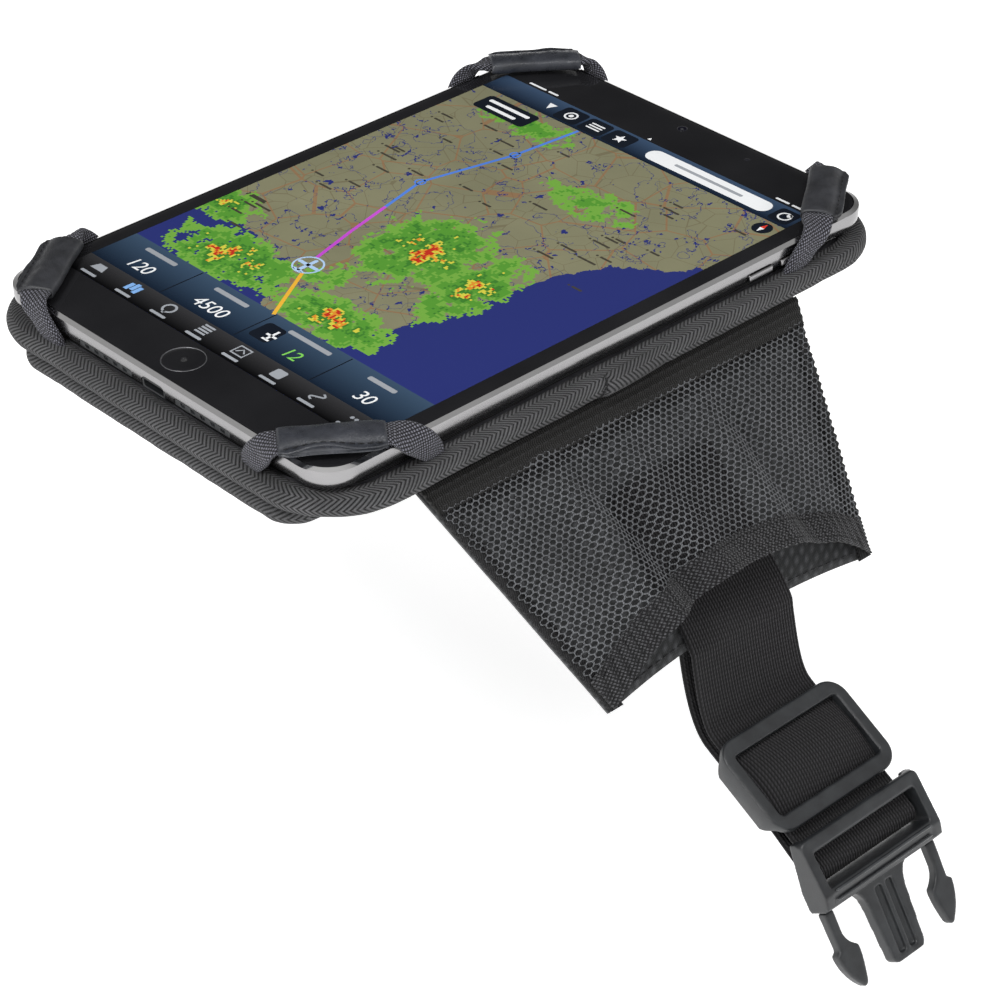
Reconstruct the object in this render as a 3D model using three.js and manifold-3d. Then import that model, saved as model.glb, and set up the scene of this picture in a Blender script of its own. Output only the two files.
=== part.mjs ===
// Tablet kneeboard for a pilot: a small tablet held by four elastic corner loops on a padded board that
// swivels on a padded base, with a mesh chart pocket wing, a leg strap with slider and side-release buckle.
//
// Frame (millimetres): +X runs along the tablet's long side towards its top, +Y away from the pocket wing,
// +Z up out of the screen. The origin is the centre of the base pad's flat underside, which lies on the
// pilot's thigh.
import * as THREE from 'three';
import { mergeVertices } from 'three/addons/utils/BufferGeometryUtils.js';
import Module from 'manifold-3d';

const wasm = await Module();
wasm.setup();

// ---------------------------------------------------------------- driving dimensions
const GAP = 0.3;                        // clearance between neighbouring pieces
const DEG = Math.PI / 180;

const BASE = { halfX: 104, halfY: 58, corner: 10, height: 6.0, binding: 7 };
const BOARD = { halfX: 105.5, halfY: 73.5, corner: 24, bottom: 6.3, top: 12.0, binding: 7.5 };
const TABLET = { halfX: 100, halfY: 67.35, corner: 10.5, bottom: 12.3, top: 19.8, wall: 1.3, floor: 1.0 };
const GLASS = { inset: 1.7, thickness: 1.0 };
const HOME = { fromEdge: 10.3, button: 5.2, ringIn: 5.5, ringOut: 6.1, hole: 6.4 };

const ELASTIC = { width: 9, thickness: 2 };
const SLEEVE = { width: 11.6, thickness: 4.2, flap: 4.0 };

const WEB = { halfWidth: 19, thickness: 1.8 };      // 38 mm webbing and buckles
const STRAP_X = -3.5;                               // the wing and strap are sewn on slightly off centre

const WING = { slope: 47, y: -68.5, z: 4.4, length: 72, halfTop: 69, halfBottom: 49.3 };
const POCKET = { bandEnd: 8, sideTape: 4, bulge: 12, arch: 15, hem: 8.5, backingArch: 4 };

const STRAP = { slope: 29.7, y: -140.3, z: -77.8 };  // slider centre, on the middle of the upper layer
const SLIDER = { halfX: 23, halfS: 14.35, windowX: 19.3, windowS: 9.8, corner: 6 };
const LAYERS = { atSlider: 3.8, atBuckle: 5.0, bendFromSlider: 25.4 };

const PLUG = { slope: 57, y: -160, z: -81.2, halfX: 22.5, bar: 1.3, length: 43.3 };
const TAB = { y: 60.2, z: 3.0, bend: 20, loopRadius: 2.6 };
const SOCKET = { halfX: 22.6, depth: 9.8, start: 28, end: 61 };

// ---------------------------------------------------------------- materials
const finish = (color, roughness, metalness = 0) =>
  new THREE.MeshStandardMaterial({ color, roughness, metalness });
const materials = {
  twill: finish(0x3b3a3a, 0.9),
  canvas: finish(0x262626, 0.95),
  foam: finish(0x55555a, 0.95),
  board: finish(0x2f3133, 0.6),
  steel: finish(0xb8bbbe, 0.35, 1),
  alloy: finish(0xc4c2c0, 0.35, 0.9),
  glass: finish(0x111113, 0.08),
  display: finish(0x4d5b74, 0.2),
  battery: finish(0x1c1c1e, 0.6),
  circuit: finish(0x1d4a34, 0.6),
  darkPlastic: finish(0x3f4041, 0.55),
  lens: finish(0x0a0a12, 0.05),
  elastic: finish(0x2c2c34, 0.95),
  leather: finish(0x4a4a4e, 0.5),
  webbing: finish(0x2a292a, 0.95),
  net: finish(0x3d3e40, 0.7),
  hem: finish(0x38393a, 0.9),
  felt: finish(0x1e1e1f, 1.0),
};

// ---------------------------------------------------------------- solids
function toSolid(geometry) {
  const bare = geometry.clone();
  bare.deleteAttribute('normal');
  bare.deleteAttribute('uv');
  const merged = mergeVertices(bare, 1e-4);
  return new wasm.Manifold(new wasm.Mesh({
    numProp: 3,
    vertProperties: new Float32Array(merged.attributes.position.array),
    triVerts: new Uint32Array(merged.index.array),
  }));
}

function toGeometry(solid) {
  const mesh = solid.getMesh();
  const geometry = new THREE.BufferGeometry();
  geometry.setAttribute('position', new THREE.BufferAttribute(mesh.vertProperties, 3));
  geometry.setIndex(new THREE.BufferAttribute(mesh.triVerts, 1));
  geometry.computeVertexNormals();
  return geometry;
}

const cut = (body, ...tools) =>
  toGeometry(tools.reduce((rest, tool) => rest.subtract(toSolid(tool)), toSolid(body)));
const join = (first, ...others) =>
  toGeometry(others.reduce((sum, piece) => sum.add(toSolid(piece)), toSolid(first)));

// A closed solid from points and triangles, turned so that its faces point out.
function closedSolid(points, triangles) {
  let volume = 0;
  for (const [a, b, c] of triangles) {
    volume += points[a].dot(new THREE.Vector3().crossVectors(points[b], points[c]));
  }
  const facing = volume < 0 ? triangles.map(([a, b, c]) => [a, c, b]) : triangles;
  const geometry = new THREE.BufferGeometry().setFromPoints(points);
  geometry.setIndex(facing.flat());
  geometry.computeVertexNormals();
  return geometry;
}

// A solid through a row of rings that all have the same number of points.
function loft(rings) {
  const count = rings[0].length;
  const points = rings.flat();
  const triangles = [];
  for (let r = 0; r + 1 < rings.length; r += 1) {
    for (let i = 0; i < count; i += 1) {
      const a = r * count + i;
      const b = r * count + (i + 1) % count;
      triangles.push([a, b, b + count], [a, b + count, a + count]);
    }
  }
  const last = (rings.length - 1) * count;
  for (let i = 1; i + 1 < count; i += 1) {
    triangles.push([0, i + 1, i], [last, last + i, last + i + 1]);
  }
  return closedSolid(points, triangles);
}

// A curved sheet of even thickness: surface(u, v) gives its middle, lift is the direction of its thickness.
function curvedSheet(surface, columns, rows, thickness) {
  const points = [];
  for (const side of [-0.5, 0.5]) {
    for (let j = 0; j <= rows; j += 1) {
      for (let i = 0; i <= columns; i += 1) {
        points.push(surface(i / columns, j / rows).add(new THREE.Vector3(0, 0, side * thickness)));
      }
    }
  }
  const layer = (columns + 1) * (rows + 1);
  const at = (i, j) => j * (columns + 1) + i;
  const triangles = [];
  for (let j = 0; j < rows; j += 1) {
    for (let i = 0; i < columns; i += 1) {
      const corners = [at(i, j), at(i + 1, j), at(i + 1, j + 1), at(i, j + 1)];
      triangles.push([corners[0], corners[2], corners[1]], [corners[0], corners[3], corners[2]]);
      const [a, b, c, d] = corners.map((corner) => corner + layer);
      triangles.push([a, b, c], [a, c, d]);
    }
  }
  const rim = [];
  for (let i = 0; i < columns; i += 1) rim.push(at(i, 0));
  for (let j = 0; j < rows; j += 1) rim.push(at(columns, j));
  for (let i = columns; i > 0; i -= 1) rim.push(at(i, rows));
  for (let j = rows; j > 0; j -= 1) rim.push(at(0, j));
  rim.forEach((a, k) => {
    const b = rim[(k + 1) % rim.length];
    triangles.push([a, b, b + layer], [a, b + layer, a + layer]);
  });
  return closedSolid(points, triangles);
}

const box = (x0, x1, y0, y1, z0, z1) =>
  new THREE.BoxGeometry(x1 - x0, y1 - y0, z1 - z0)
    .translate((x0 + x1) / 2, (y0 + y1) / 2, (z0 + z1) / 2);

const disc = (radius, z0, z1, x = 0, y = 0, segments = 24) =>
  new THREE.CylinderGeometry(radius, radius, z1 - z0, segments)
    .rotateX(Math.PI / 2).translate(x, y, (z0 + z1) / 2);

function roundedOutline(halfX, halfY, radius, into = new THREE.Shape()) {
  into.moveTo(halfX, -halfY + radius);
  into.lineTo(halfX, halfY - radius);
  into.absarc(halfX - radius, halfY - radius, radius, 0, 90 * DEG, false);
  into.lineTo(-halfX + radius, halfY);
  into.absarc(-halfX + radius, halfY - radius, radius, 90 * DEG, 180 * DEG, false);
  into.lineTo(-halfX, -halfY + radius);
  into.absarc(-halfX + radius, -halfY + radius, radius, 180 * DEG, 270 * DEG, false);
  into.lineTo(halfX - radius, -halfY);
  into.absarc(halfX - radius, -halfY + radius, radius, 270 * DEG, 360 * DEG, false);
  return into;
}

function slab(outline, z0, z1, curveSegments = 8) {
  const settings = { depth: z1 - z0, bevelEnabled: false, curveSegments };
  return new THREE.ExtrudeGeometry(outline, settings).translate(0, 0, z0);
}

const roundedPlate = (halfX, halfY, radius, z0, z1) => slab(roundedOutline(halfX, halfY, radius), z0, z1);

// A rounded plate whose long top and bottom edges are rounded by `edge` as well.
const softPlate = (halfX, halfY, radius, z0, z1, edge) =>
  new THREE.ExtrudeGeometry(roundedOutline(halfX - edge, halfY - edge, radius - edge), {
    depth: z1 - z0 - 2 * edge, bevelThickness: edge, bevelSize: edge, bevelSegments: 3, curveSegments: 6,
  }).translate(0, 0, z0 + edge);

// An outline in the Y-Z plane carried along X from x0 to x1. Its points are [y, z].
function alongX(outline, x0, x1) {
  const shape = new THREE.Shape(outline.map(([y, z]) => new THREE.Vector2(y, z)));
  return new THREE.ExtrudeGeometry(shape, { depth: x1 - x0, bevelEnabled: false })
    .rotateY(90 * DEG).rotateX(90 * DEG).translate(x0, 0, 0);
}

const root = new THREE.Group();
function add(name, geometry, material, parent = root) {
  const mesh = new THREE.Mesh(geometry, material);
  mesh.name = name;
  parent.add(mesh);
  return mesh;
}

// A group that is turned about X, so that its own -Y runs outwards and down at `slope` degrees.
function slopedGroup(x, y, z, slope) {
  const group = new THREE.Group();
  group.position.set(x, y, z);
  group.rotation.x = slope * DEG;
  root.add(group);
  return group;
}

// ---------------------------------------------------------------- padded base, on the thigh
const RIVET = { flange: 11, shaft: 4, head: 10, hole: 4.4, pocket: 11.4 };
const innerPlate = (pad, z0, z1) =>
  roundedPlate(pad.halfX - pad.binding - GAP, pad.halfY - pad.binding - GAP,
    Math.max(pad.corner - pad.binding, 3), z0, z1);

function bindingRing(pad, z0, z1) {
  const opening = roundedPlate(pad.halfX - pad.binding, pad.halfY - pad.binding,
    Math.max(pad.corner - pad.binding, 3), z0 - 1, z1 + 1);
  return cut(softPlate(pad.halfX, pad.halfY, pad.corner, z0, z1, 1.8), opening);
}

add('base_grip_fabric', innerPlate(BASE, 0, 0.8), materials.felt);
add('base_foam', cut(innerPlate(BASE, 1.1, 2.9), disc(RIVET.pocket, 0, 4)), materials.foam);
add('base_stiffener', cut(innerPlate(BASE, 3.2, 4.8), disc(RIVET.hole, 2, 6)), materials.board);
add('base_face_fabric', cut(innerPlate(BASE, 5.1, 6.0), disc(RIVET.hole, 4, 7)), materials.canvas);
add('base_binding_tape', bindingRing(BASE, 0, BASE.height), materials.twill);
add('swivel_post', join(disc(RIVET.flange, 1.4, 2.9), disc(RIVET.shaft, 2.5, 9.0)), materials.steel);
add('swivel_cap', disc(RIVET.head, 9.3, 10.4), materials.steel);
// The root tape stops short of the fold, so the wing can hang down.
const rootTape = { clear: 1.5, bottom: 3.6, top: 5.2 };
add('wing_root_tape', box(STRAP_X - WING.halfTop, STRAP_X + WING.halfTop,
  WING.y + rootTape.clear, -BASE.halfY - GAP, rootTape.bottom, rootTape.top), materials.canvas);

// ---------------------------------------------------------------- padded top board, under the tablet
add('board_underside_fabric', cut(innerPlate(BOARD, 6.3, 6.9), disc(RIVET.hole, 5, 8)), materials.canvas);
add('board_stiffener', cut(innerPlate(BOARD, 7.2, 8.8), disc(RIVET.hole, 6, 10)), materials.board);
add('board_foam', cut(innerPlate(BOARD, 9.1, 10.9), disc(RIVET.pocket, 8, 12)), materials.foam);
add('board_face_fabric', innerPlate(BOARD, 11.2, BOARD.top), materials.canvas);
add('board_binding_tape', bindingRing(BOARD, BOARD.bottom, BOARD.top), materials.twill);

// ---------------------------------------------------------------- tablet
const glassBottom = TABLET.top - GLASS.thickness;
const homeX = -TABLET.halfX + HOME.fromEdge;
const inner = {
  x: TABLET.halfX - TABLET.wall,
  y: TABLET.halfY - TABLET.wall,
  r: TABLET.corner - TABLET.wall,
};
const sideMiddle = 15.6;
const VOLUME = { up: 66, down: 53.5, half: 4.6, height: 0.9, out: 0.7 };
const POWER = { y: -42, half: 4.6 };
const CAMERA = { x: 88, y: 55 };
const PORT = { halfY: 4.6, halfZ: 1.6, depth: 6 };
const SPEAKER = { middle: 20, half: 11, halfZ: 0.9 };

// The shell's back edges are rounded and its rim is flat, because the plate is cut off at the rim's height.
const backRadius = 2.6;
const shellBlank = cut(
  softPlate(TABLET.halfX, TABLET.halfY, TABLET.corner, TABLET.bottom, TABLET.top + 3, backRadius),
  box(-120, 120, -90, 90, TABLET.top, TABLET.top + 10));
const sideSlot = (x) => box(x - VOLUME.half - GAP, x + VOLUME.half + GAP, -75, -60,
  sideMiddle - VOLUME.height - GAP, sideMiddle + VOLUME.height + GAP);
const endSlot = (y, halfY, halfZ) => box(-105, -90, y - halfY - GAP, y + halfY + GAP,
  sideMiddle - halfZ - GAP, sideMiddle + halfZ + GAP);
add('tablet_rear_case', cut(shellBlank,
  roundedPlate(inner.x, inner.y, inner.r, TABLET.bottom + TABLET.floor, TABLET.top + 1),
  sideSlot(VOLUME.up), sideSlot(VOLUME.down),
  box(90, 105, POWER.y - POWER.half - GAP, POWER.y + POWER.half + GAP, sideMiddle - 1.2, sideMiddle + 1.2),
  endSlot(0, PORT.halfY, PORT.halfZ), endSlot(SPEAKER.middle, SPEAKER.half, SPEAKER.halfZ),
  endSlot(-SPEAKER.middle, SPEAKER.half, SPEAKER.halfZ),
  disc(3.3, 10, 15, CAMERA.x, CAMERA.y, 16)), materials.alloy);
const glassPlate = roundedPlate(TABLET.halfX - GLASS.inset, TABLET.halfY - GLASS.inset,
  TABLET.corner - GLASS.inset, glassBottom, TABLET.top);
add('tablet_front_glass', cut(glassPlate, disc(HOME.hole, 18, 21, homeX)), materials.glass);
add('tablet_home_ring', cut(disc(HOME.ringOut, glassBottom, TABLET.top + 0.1, homeX),
  disc(HOME.ringIn, 18, 21, homeX)), materials.alloy);
add('tablet_home_button', disc(HOME.button, glassBottom, TABLET.top - 0.1, homeX), materials.glass);
add('tablet_display_panel', roundedPlate(82, 61.5, 1.5, 17.2, 18.5), materials.display);
for (const side of [-1, 1]) {
  const name = side < 0 ? 'tablet_battery_near' : 'tablet_battery_far';
  add(name, roundedPlate(46, 26, 2, 13.6, 16.4).translate(-12, side * 27, 0), materials.battery);
}
add('tablet_logic_board', roundedPlate(19, 52, 1.5, 13.6, 14.8).translate(62, -4, 0), materials.circuit);
const portBody = box(-TABLET.halfX + 0.2, -TABLET.halfX + PORT.depth, -PORT.halfY, PORT.halfY,
  sideMiddle - PORT.halfZ, sideMiddle + PORT.halfZ);
const portMouth = box(-TABLET.halfX - 1, -TABLET.halfX + 3, -PORT.halfY + 0.6, PORT.halfY - 0.6,
  sideMiddle - 0.9, sideMiddle + 0.9);
add('tablet_charging_port', cut(portBody, portMouth), materials.darkPlastic);
for (const side of [-1, 1]) {
  const middle = side * SPEAKER.middle;
  const blank = box(-TABLET.halfX + 0.1, -TABLET.halfX + 5, middle - SPEAKER.half, middle + SPEAKER.half,
    sideMiddle - SPEAKER.halfZ, sideMiddle + SPEAKER.halfZ);
  const holes = [-8, -4, 0, 4, 8].map((step) => box(-TABLET.halfX - 1, -TABLET.halfX + 0.8,
    middle + step - 0.9, middle + step + 0.9, sideMiddle - 0.5, sideMiddle + 0.5));
  const name = side < 0 ? 'tablet_speaker_near' : 'tablet_speaker_far';
  add(name, cut(blank, ...holes), materials.darkPlastic);
}
for (const [name, x] of [['tablet_volume_up', VOLUME.up], ['tablet_volume_down', VOLUME.down]]) {
  add(name, box(x - VOLUME.half, x + VOLUME.half, -TABLET.halfY - VOLUME.out, -inner.y + 1,
    sideMiddle - VOLUME.height, sideMiddle + VOLUME.height), materials.alloy);
}
add('tablet_power_button', box(inner.x - 1, TABLET.halfX + VOLUME.out,
  POWER.y - POWER.half, POWER.y + POWER.half,
  sideMiddle - VOLUME.height, sideMiddle + VOLUME.height), materials.alloy);
add('tablet_front_camera', disc(1.6, glassBottom - 2.0, glassBottom - GAP, 93, 0, 12), materials.lens);
add('tablet_rear_camera', disc(3, TABLET.bottom, TABLET.bottom + 3.5, CAMERA.x, CAMERA.y, 16),
  materials.lens);

// ---------------------------------------------------------------- elastic corner loops and leather sleeves
// The way of one loop round the corner at +X, +Y: up the short side, across the corner, down the long side.
const LOOP_ROUTE = [
  { at: [101.9, 47.0, 12.6], out: [1, 0, 0] },
  { at: [101.9, 47.4, 18.2], out: [1, 0, 0] },
  { at: [101.6, 48.0, 20.8], out: [0.85, 0, 0.5] },
  { at: [100.0, 49.4, 22.3], out: [0.3, 0, 0.95] },
  { at: [97.6, 51.2, 22.5], out: [0, 0, 1] },
  { at: [78.6, 65.2, 22.5], out: [0, 0, 1] },
  { at: [77.2, 67.2, 22.3], out: [0, 0.3, 0.95] },
  { at: [76.4, 68.9, 20.8], out: [0, 0.85, 0.5] },
  { at: [76.0, 69.2, 18.2], out: [0, 1, 0] },
  { at: [75.8, 69.2, 12.6], out: [0, 1, 0] },
];

// A flat band with rounded edges along a route; `outline` lists [across, out] points of its cross-section.
function band(route, outline) {
  const points = route.map(({ at }) => new THREE.Vector3(...at));
  const rings = route.map(({ out }, i) => {
    const ahead = points[Math.min(i + 1, points.length - 1)].clone();
    const tangent = ahead.sub(points[Math.max(i - 1, 0)]).normalize();
    const across = new THREE.Vector3().crossVectors(tangent, new THREE.Vector3(...out)).normalize();
    const normal = new THREE.Vector3().crossVectors(across, tangent);
    return outline.map(([a, n]) => points[i].clone().addScaledVector(across, a).addScaledVector(normal, n));
  });
  return loft(rings);
}

function flatOval(width, thickness) {
  const w = width / 2;
  const t = thickness / 2;
  const under = [[-w, -t / 2], [-w * 0.8, -t], [w * 0.8, -t], [w, -t / 2]];
  const over = [[w, t / 2], [w * 0.8, t], [-w * 0.8, t], [-w, t / 2]];
  return [...under, ...over];
}

const mirrored = (route, sx, sy) => route.map(({ at: [x, y, z], out: [a, b, c] }) => ({
  at: [sx * x, sy * y, z],
  out: [sx * a, sy * b, c],
}));

function sleeveRoute(from, to) {
  const [start, end] = [LOOP_ROUTE[4].at, LOOP_ROUTE[5].at].map((p) => new THREE.Vector3(...p));
  return [from, to].map((t) => ({ at: start.clone().lerp(end, t).toArray(), out: [0, 0, 1] }));
}

const CORNERS = [['bottom_near', -1, -1], ['bottom_far', -1, 1], ['top_near', 1, -1], ['top_far', 1, 1]];
for (const [corner, sx, sy] of CORNERS) {
  const loop = band(mirrored(LOOP_ROUTE, sx, sy), flatOval(ELASTIC.width, ELASTIC.thickness));
  add(`elastic_loop_${corner}`, loop, materials.elastic);
  const tube = band(mirrored(sleeveRoute(0.02, 0.98), sx, sy), flatOval(SLEEVE.width, SLEEVE.thickness));
  const flapSide = sx * sy;
  const flapReach = flapSide * (SLEEVE.width / 2 + SLEEVE.flap);
  const flap = band(mirrored(sleeveRoute(0.08, 0.92), sx, sy),
    [[0, -0.7], [flapReach, -0.7], [flapReach, 0.7], [0, 0.7]]);
  const bore = band(mirrored(sleeveRoute(-0.1, 1.1), sx, sy),
    flatOval(ELASTIC.width + 2 * GAP, ELASTIC.thickness + 2 * GAP));
  add(`leather_sleeve_${corner}`, cut(join(tube, flap), bore), materials.leather);
}

// ---------------------------------------------------------------- chart pocket wing
// In the wing's own frame -Y runs down the wing from its fold, and +Z is its outer face.
const wing = slopedGroup(STRAP_X, WING.y, WING.z, WING.slope);
const halfAt = (s) => WING.halfTop + (WING.halfBottom - WING.halfTop) * s / WING.length;
const edgeDip = (u) => 1 - (2 * u - 1) ** 2;           // 0 at the sides, 1 in the middle

function trapezoid(s0, s1, z0, z1, insetLeft = 0) {
  const shape = new THREE.Shape();
  shape.moveTo(-halfAt(s0) + insetLeft, -s0);
  shape.lineTo(-halfAt(s1) + insetLeft, -s1);
  shape.lineTo(halfAt(s1) - insetLeft, -s1);
  shape.lineTo(halfAt(s0) - insetLeft, -s0);
  return slab(shape, z0, z1);
}

const wingStart = 1.2;
const backing = (u, v) => {
  const s = wingStart + v * (WING.length - POCKET.backingArch * edgeDip(u) - wingStart);
  return new THREE.Vector3((2 * u - 1) * halfAt(s), -s, 0);
};
add('wing_backing', curvedSheet(backing, 12, 2, 1.2), materials.felt, wing);
add('wing_top_band', trapezoid(wingStart + 0.3, POCKET.bandEnd, 0.9, 2.2), materials.canvas, wing);

function sideTape(side) {
  const s0 = POCKET.bandEnd + GAP;
  const shape = new THREE.Shape();
  shape.moveTo(side * halfAt(s0), -s0);
  shape.lineTo(side * halfAt(WING.length), -WING.length);
  shape.lineTo(side * (halfAt(WING.length) - POCKET.sideTape), -WING.length);
  shape.lineTo(side * (halfAt(s0) - POCKET.sideTape), -s0);
  return slab(shape, 0.9, 2.1);
}
add('wing_side_tape_bottom', sideTape(-1), materials.canvas, wing);
add('wing_side_tape_top', sideTape(1), materials.canvas, wing);

// The net lies flat at the band and stands off the backing towards the arched mouth.
const netHalf = (s) => halfAt(s) - POCKET.sideTape - GAP;
const mouthAt = (u) => WING.length - 0.5 - POCKET.arch * edgeDip(u);
const netRun = WING.length - POCKET.arch - POCKET.bandEnd;
const netLift = (s, u) => 1.6 + POCKET.bulge * edgeDip(u) * ((s - POCKET.bandEnd) / netRun) ** 1.3;
const netPatch = (startAt, endAt) => (u, v) => {
  const s = startAt(u) + v * (endAt(u) - startAt(u));
  return new THREE.Vector3((2 * u - 1) * netHalf(s), -s, netLift(s, u));
};
const netSurface = netPatch(() => POCKET.bandEnd + GAP, (u) => mouthAt(u) - POCKET.hem);
const hemSurface = netPatch((u) => mouthAt(u) - POCKET.hem + GAP, mouthAt);
add('wing_net', curvedSheet(netSurface, 14, 6, 0.8), materials.net, wing);
add('wing_mouth_hem', curvedSheet(hemSurface, 14, 2, 1.0), materials.hem, wing);
const hingeS = WING.length - 3;
add('strap_tongue', box(-WEB.halfWidth, WEB.halfWidth, -hingeS + 1.2, -24, 0.9, 0.9 + WEB.thickness),
  materials.webbing, wing);

// ---------------------------------------------------------------- leg strap
// Its outline is worked out in the Y-Z plane: an upper layer, a bend round the buckle's bar, a return layer.
const outward = (slope) => new THREE.Vector2(-Math.cos(slope * DEG), -Math.sin(slope * DEG));
const upward = (slope) => new THREE.Vector2(-Math.sin(slope * DEG), Math.cos(slope * DEG));
const onStrap = (t, n = 0) => new THREE.Vector2(STRAP.y, STRAP.z)
  .addScaledVector(outward(STRAP.slope), t).addScaledVector(upward(STRAP.slope), n);
const fold = new THREE.Vector2(WING.y, WING.z).addScaledVector(outward(WING.slope), hingeS)
  .addScaledVector(upward(WING.slope), 0.9 + WEB.thickness / 2);

function stripOutline(middle, thickness) {
  const offset = (side) => middle.map((point, i) => {
    const along = middle[Math.min(i + 1, middle.length - 1)].clone();
    along.sub(middle[Math.max(i - 1, 0)]).normalize();
    return [point.x - side * along.y * thickness / 2, point.y + side * along.x * thickness / 2];
  });
  return [...offset(1), ...offset(-1).reverse()];
}

const straightStart = onStrap(-SLIDER.halfS - 2.7);
const bendStart = onStrap(LAYERS.bendFromSlider);
const upperCurve = new THREE.CubicBezierCurve(
  fold.clone().add(new THREE.Vector2(-0.2, -1.4)),
  fold.clone().add(new THREE.Vector2(-2.6, -12)),
  straightStart.clone().addScaledVector(outward(STRAP.slope), -5),
  straightStart,
);
const upperLayer = [...upperCurve.getPoints(12), bendStart];
const bendRadius = LAYERS.atBuckle / 2;
const bendCentre = onStrap(LAYERS.bendFromSlider, -bendRadius);
for (let step = 1; step <= 10; step += 1) {
  const angle = 180 * DEG * step / 10;
  const t = LAYERS.bendFromSlider + bendRadius * Math.sin(angle);
  upperLayer.push(onStrap(t, -bendRadius + bendRadius * Math.cos(angle)));
}
const strapSolid = (middle) =>
  alongX(stripOutline(middle, WEB.thickness), STRAP_X - WEB.halfWidth, STRAP_X + WEB.halfWidth);
add('strap_upper_layer', strapSolid(upperLayer), materials.webbing);

const returnEnd = onStrap(-SLIDER.halfS - 2.7, -LAYERS.atSlider);
const returnCurve = new THREE.CubicBezierCurve(
  returnEnd,
  returnEnd.clone().addScaledVector(outward(STRAP.slope), -6),
  fold.clone().add(new THREE.Vector2(-0.2, -14)),
  fold.clone().add(new THREE.Vector2(1.4, -6)),
);
const returnLayer = [
  onStrap(LAYERS.bendFromSlider - GAP, -LAYERS.atBuckle),
  onStrap(SLIDER.halfS - 8, -LAYERS.atSlider),
  ...returnCurve.getPoints(10),
];
add('strap_return_layer', strapSolid(returnLayer), materials.webbing);

// ---------------------------------------------------------------- slider on the strap
const slider = slopedGroup(STRAP_X, STRAP.y, STRAP.z, STRAP.slope);
const sliderFrame = cut(
  softPlate(SLIDER.halfX, SLIDER.halfS, SLIDER.corner, 1.4, 4.0, 0.8),
  roundedPlate(SLIDER.windowX, SLIDER.windowS, 2.5, 0, 6),
);
const sliderSides = [-1, 1].map((side) =>
  box(WEB.halfWidth + 0.5, SLIDER.halfX - 0.4, -7, 7, -2.8, 2.6).rotateZ(side > 0 ? 0 : 180 * DEG));
const centreBar = box(-WEB.halfWidth - 1, WEB.halfWidth + 1, -1.8, 1.8, -2.6, -1.2);
add('strap_slider', join(sliderFrame, ...sliderSides, centreBar), materials.darkPlastic, slider);

// ---------------------------------------------------------------- plug half of the buckle
// -Y runs from the loop end to the tips, +Z is the outer face.
const plug = slopedGroup(STRAP_X, PLUG.y, PLUG.z, PLUG.slope);
const along = outward(PLUG.slope);
const up = upward(PLUG.slope);
const bendFromPlug = bendCentre.clone().sub(new THREE.Vector2(PLUG.y, PLUG.z));
const barAt = { s: bendFromPlug.dot(along), n: bendFromPlug.dot(up) };
const arm = { inner: 18.2, outer: 21.5, start: 20.2, low: -5.9, high: -2.7 };

const wallOutline = [
  [-0.2, -2.2], [-0.2, -4.6], [-13.8, -7.2], [-19, -7.0], [-19, 0.6], [-15.4, 1.6], [-2, -0.1],
];
const wallInner = WEB.halfWidth + 0.5;
const plugWalls = [
  alongX(wallOutline, -PLUG.halfX, -wallInner),
  alongX(wallOutline, wallInner, PLUG.halfX),
];
const endBar = softPlate(PLUG.halfX, 2.1, 2.0, -2.6, 0, 0.7).translate(0, -2.1, 0);
const frontOutline = [[-13.9, -7.2], [-19.6, -6.6], [-19.6, -0.6], [-15.4, 1.6], [-13.9, 1.4]];
const frontBlock = alongX(frontOutline, -PLUG.halfX, PLUG.halfX);
const loopBar = new THREE.CylinderGeometry(PLUG.bar, PLUG.bar, 2 * WEB.halfWidth + 2, 10)
  .rotateZ(90 * DEG).translate(0, -barAt.s, barAt.n);
function guideOutline() {
  const shape = new THREE.Shape();
  shape.moveTo(-13, -19);
  shape.quadraticCurveTo(-7.5, -20, -7, -26);
  shape.lineTo(-6, -41.5);
  shape.quadraticCurveTo(-5.5, -43, -4, -43);
  shape.lineTo(4, -43);
  shape.quadraticCurveTo(5.5, -43, 6, -41.5);
  shape.lineTo(7, -26);
  shape.quadraticCurveTo(7.5, -20, 13, -19);
  return shape;
}
const guideGroove = box(-3.2, 3.2, -41, -22, -3.9, 0);
const guideRib = box(-0.7, 0.7, -42, -19.5, -5.0, -2.5);
const guide = slab(guideOutline(), -6.4, -2.6, 4);
const plugBlank = cut(join(endBar, ...plugWalls, frontBlock, guide), guideGroove);
add('buckle_plug_body', join(plugBlank, loopBar, guideRib), materials.darkPlastic, plug);

function latchOutline(side) {
  const shape = new THREE.Shape();
  const x = (value) => side * value;
  shape.moveTo(x(arm.outer), -arm.start);
  shape.lineTo(x(arm.outer - 0.4), -31);
  shape.lineTo(x(22.6), -32);
  shape.quadraticCurveTo(x(22.2), -38, x(17.8), -PLUG.length + 0.6);
  shape.quadraticCurveTo(x(16.8), -PLUG.length, x(16), -PLUG.length + 1.6);
  shape.quadraticCurveTo(x(14.2), -35, x(14.6), -32);
  shape.quadraticCurveTo(x(17.8), -30, x(arm.inner), -27);
  shape.lineTo(x(arm.inner), -arm.start);
  return shape;
}
for (const [name, side] of [['buckle_latch_bottom', -1], ['buckle_latch_top', 1]]) {
  add(name, slab(latchOutline(side), arm.low, arm.high, 5), materials.darkPlastic, plug);
}

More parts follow.
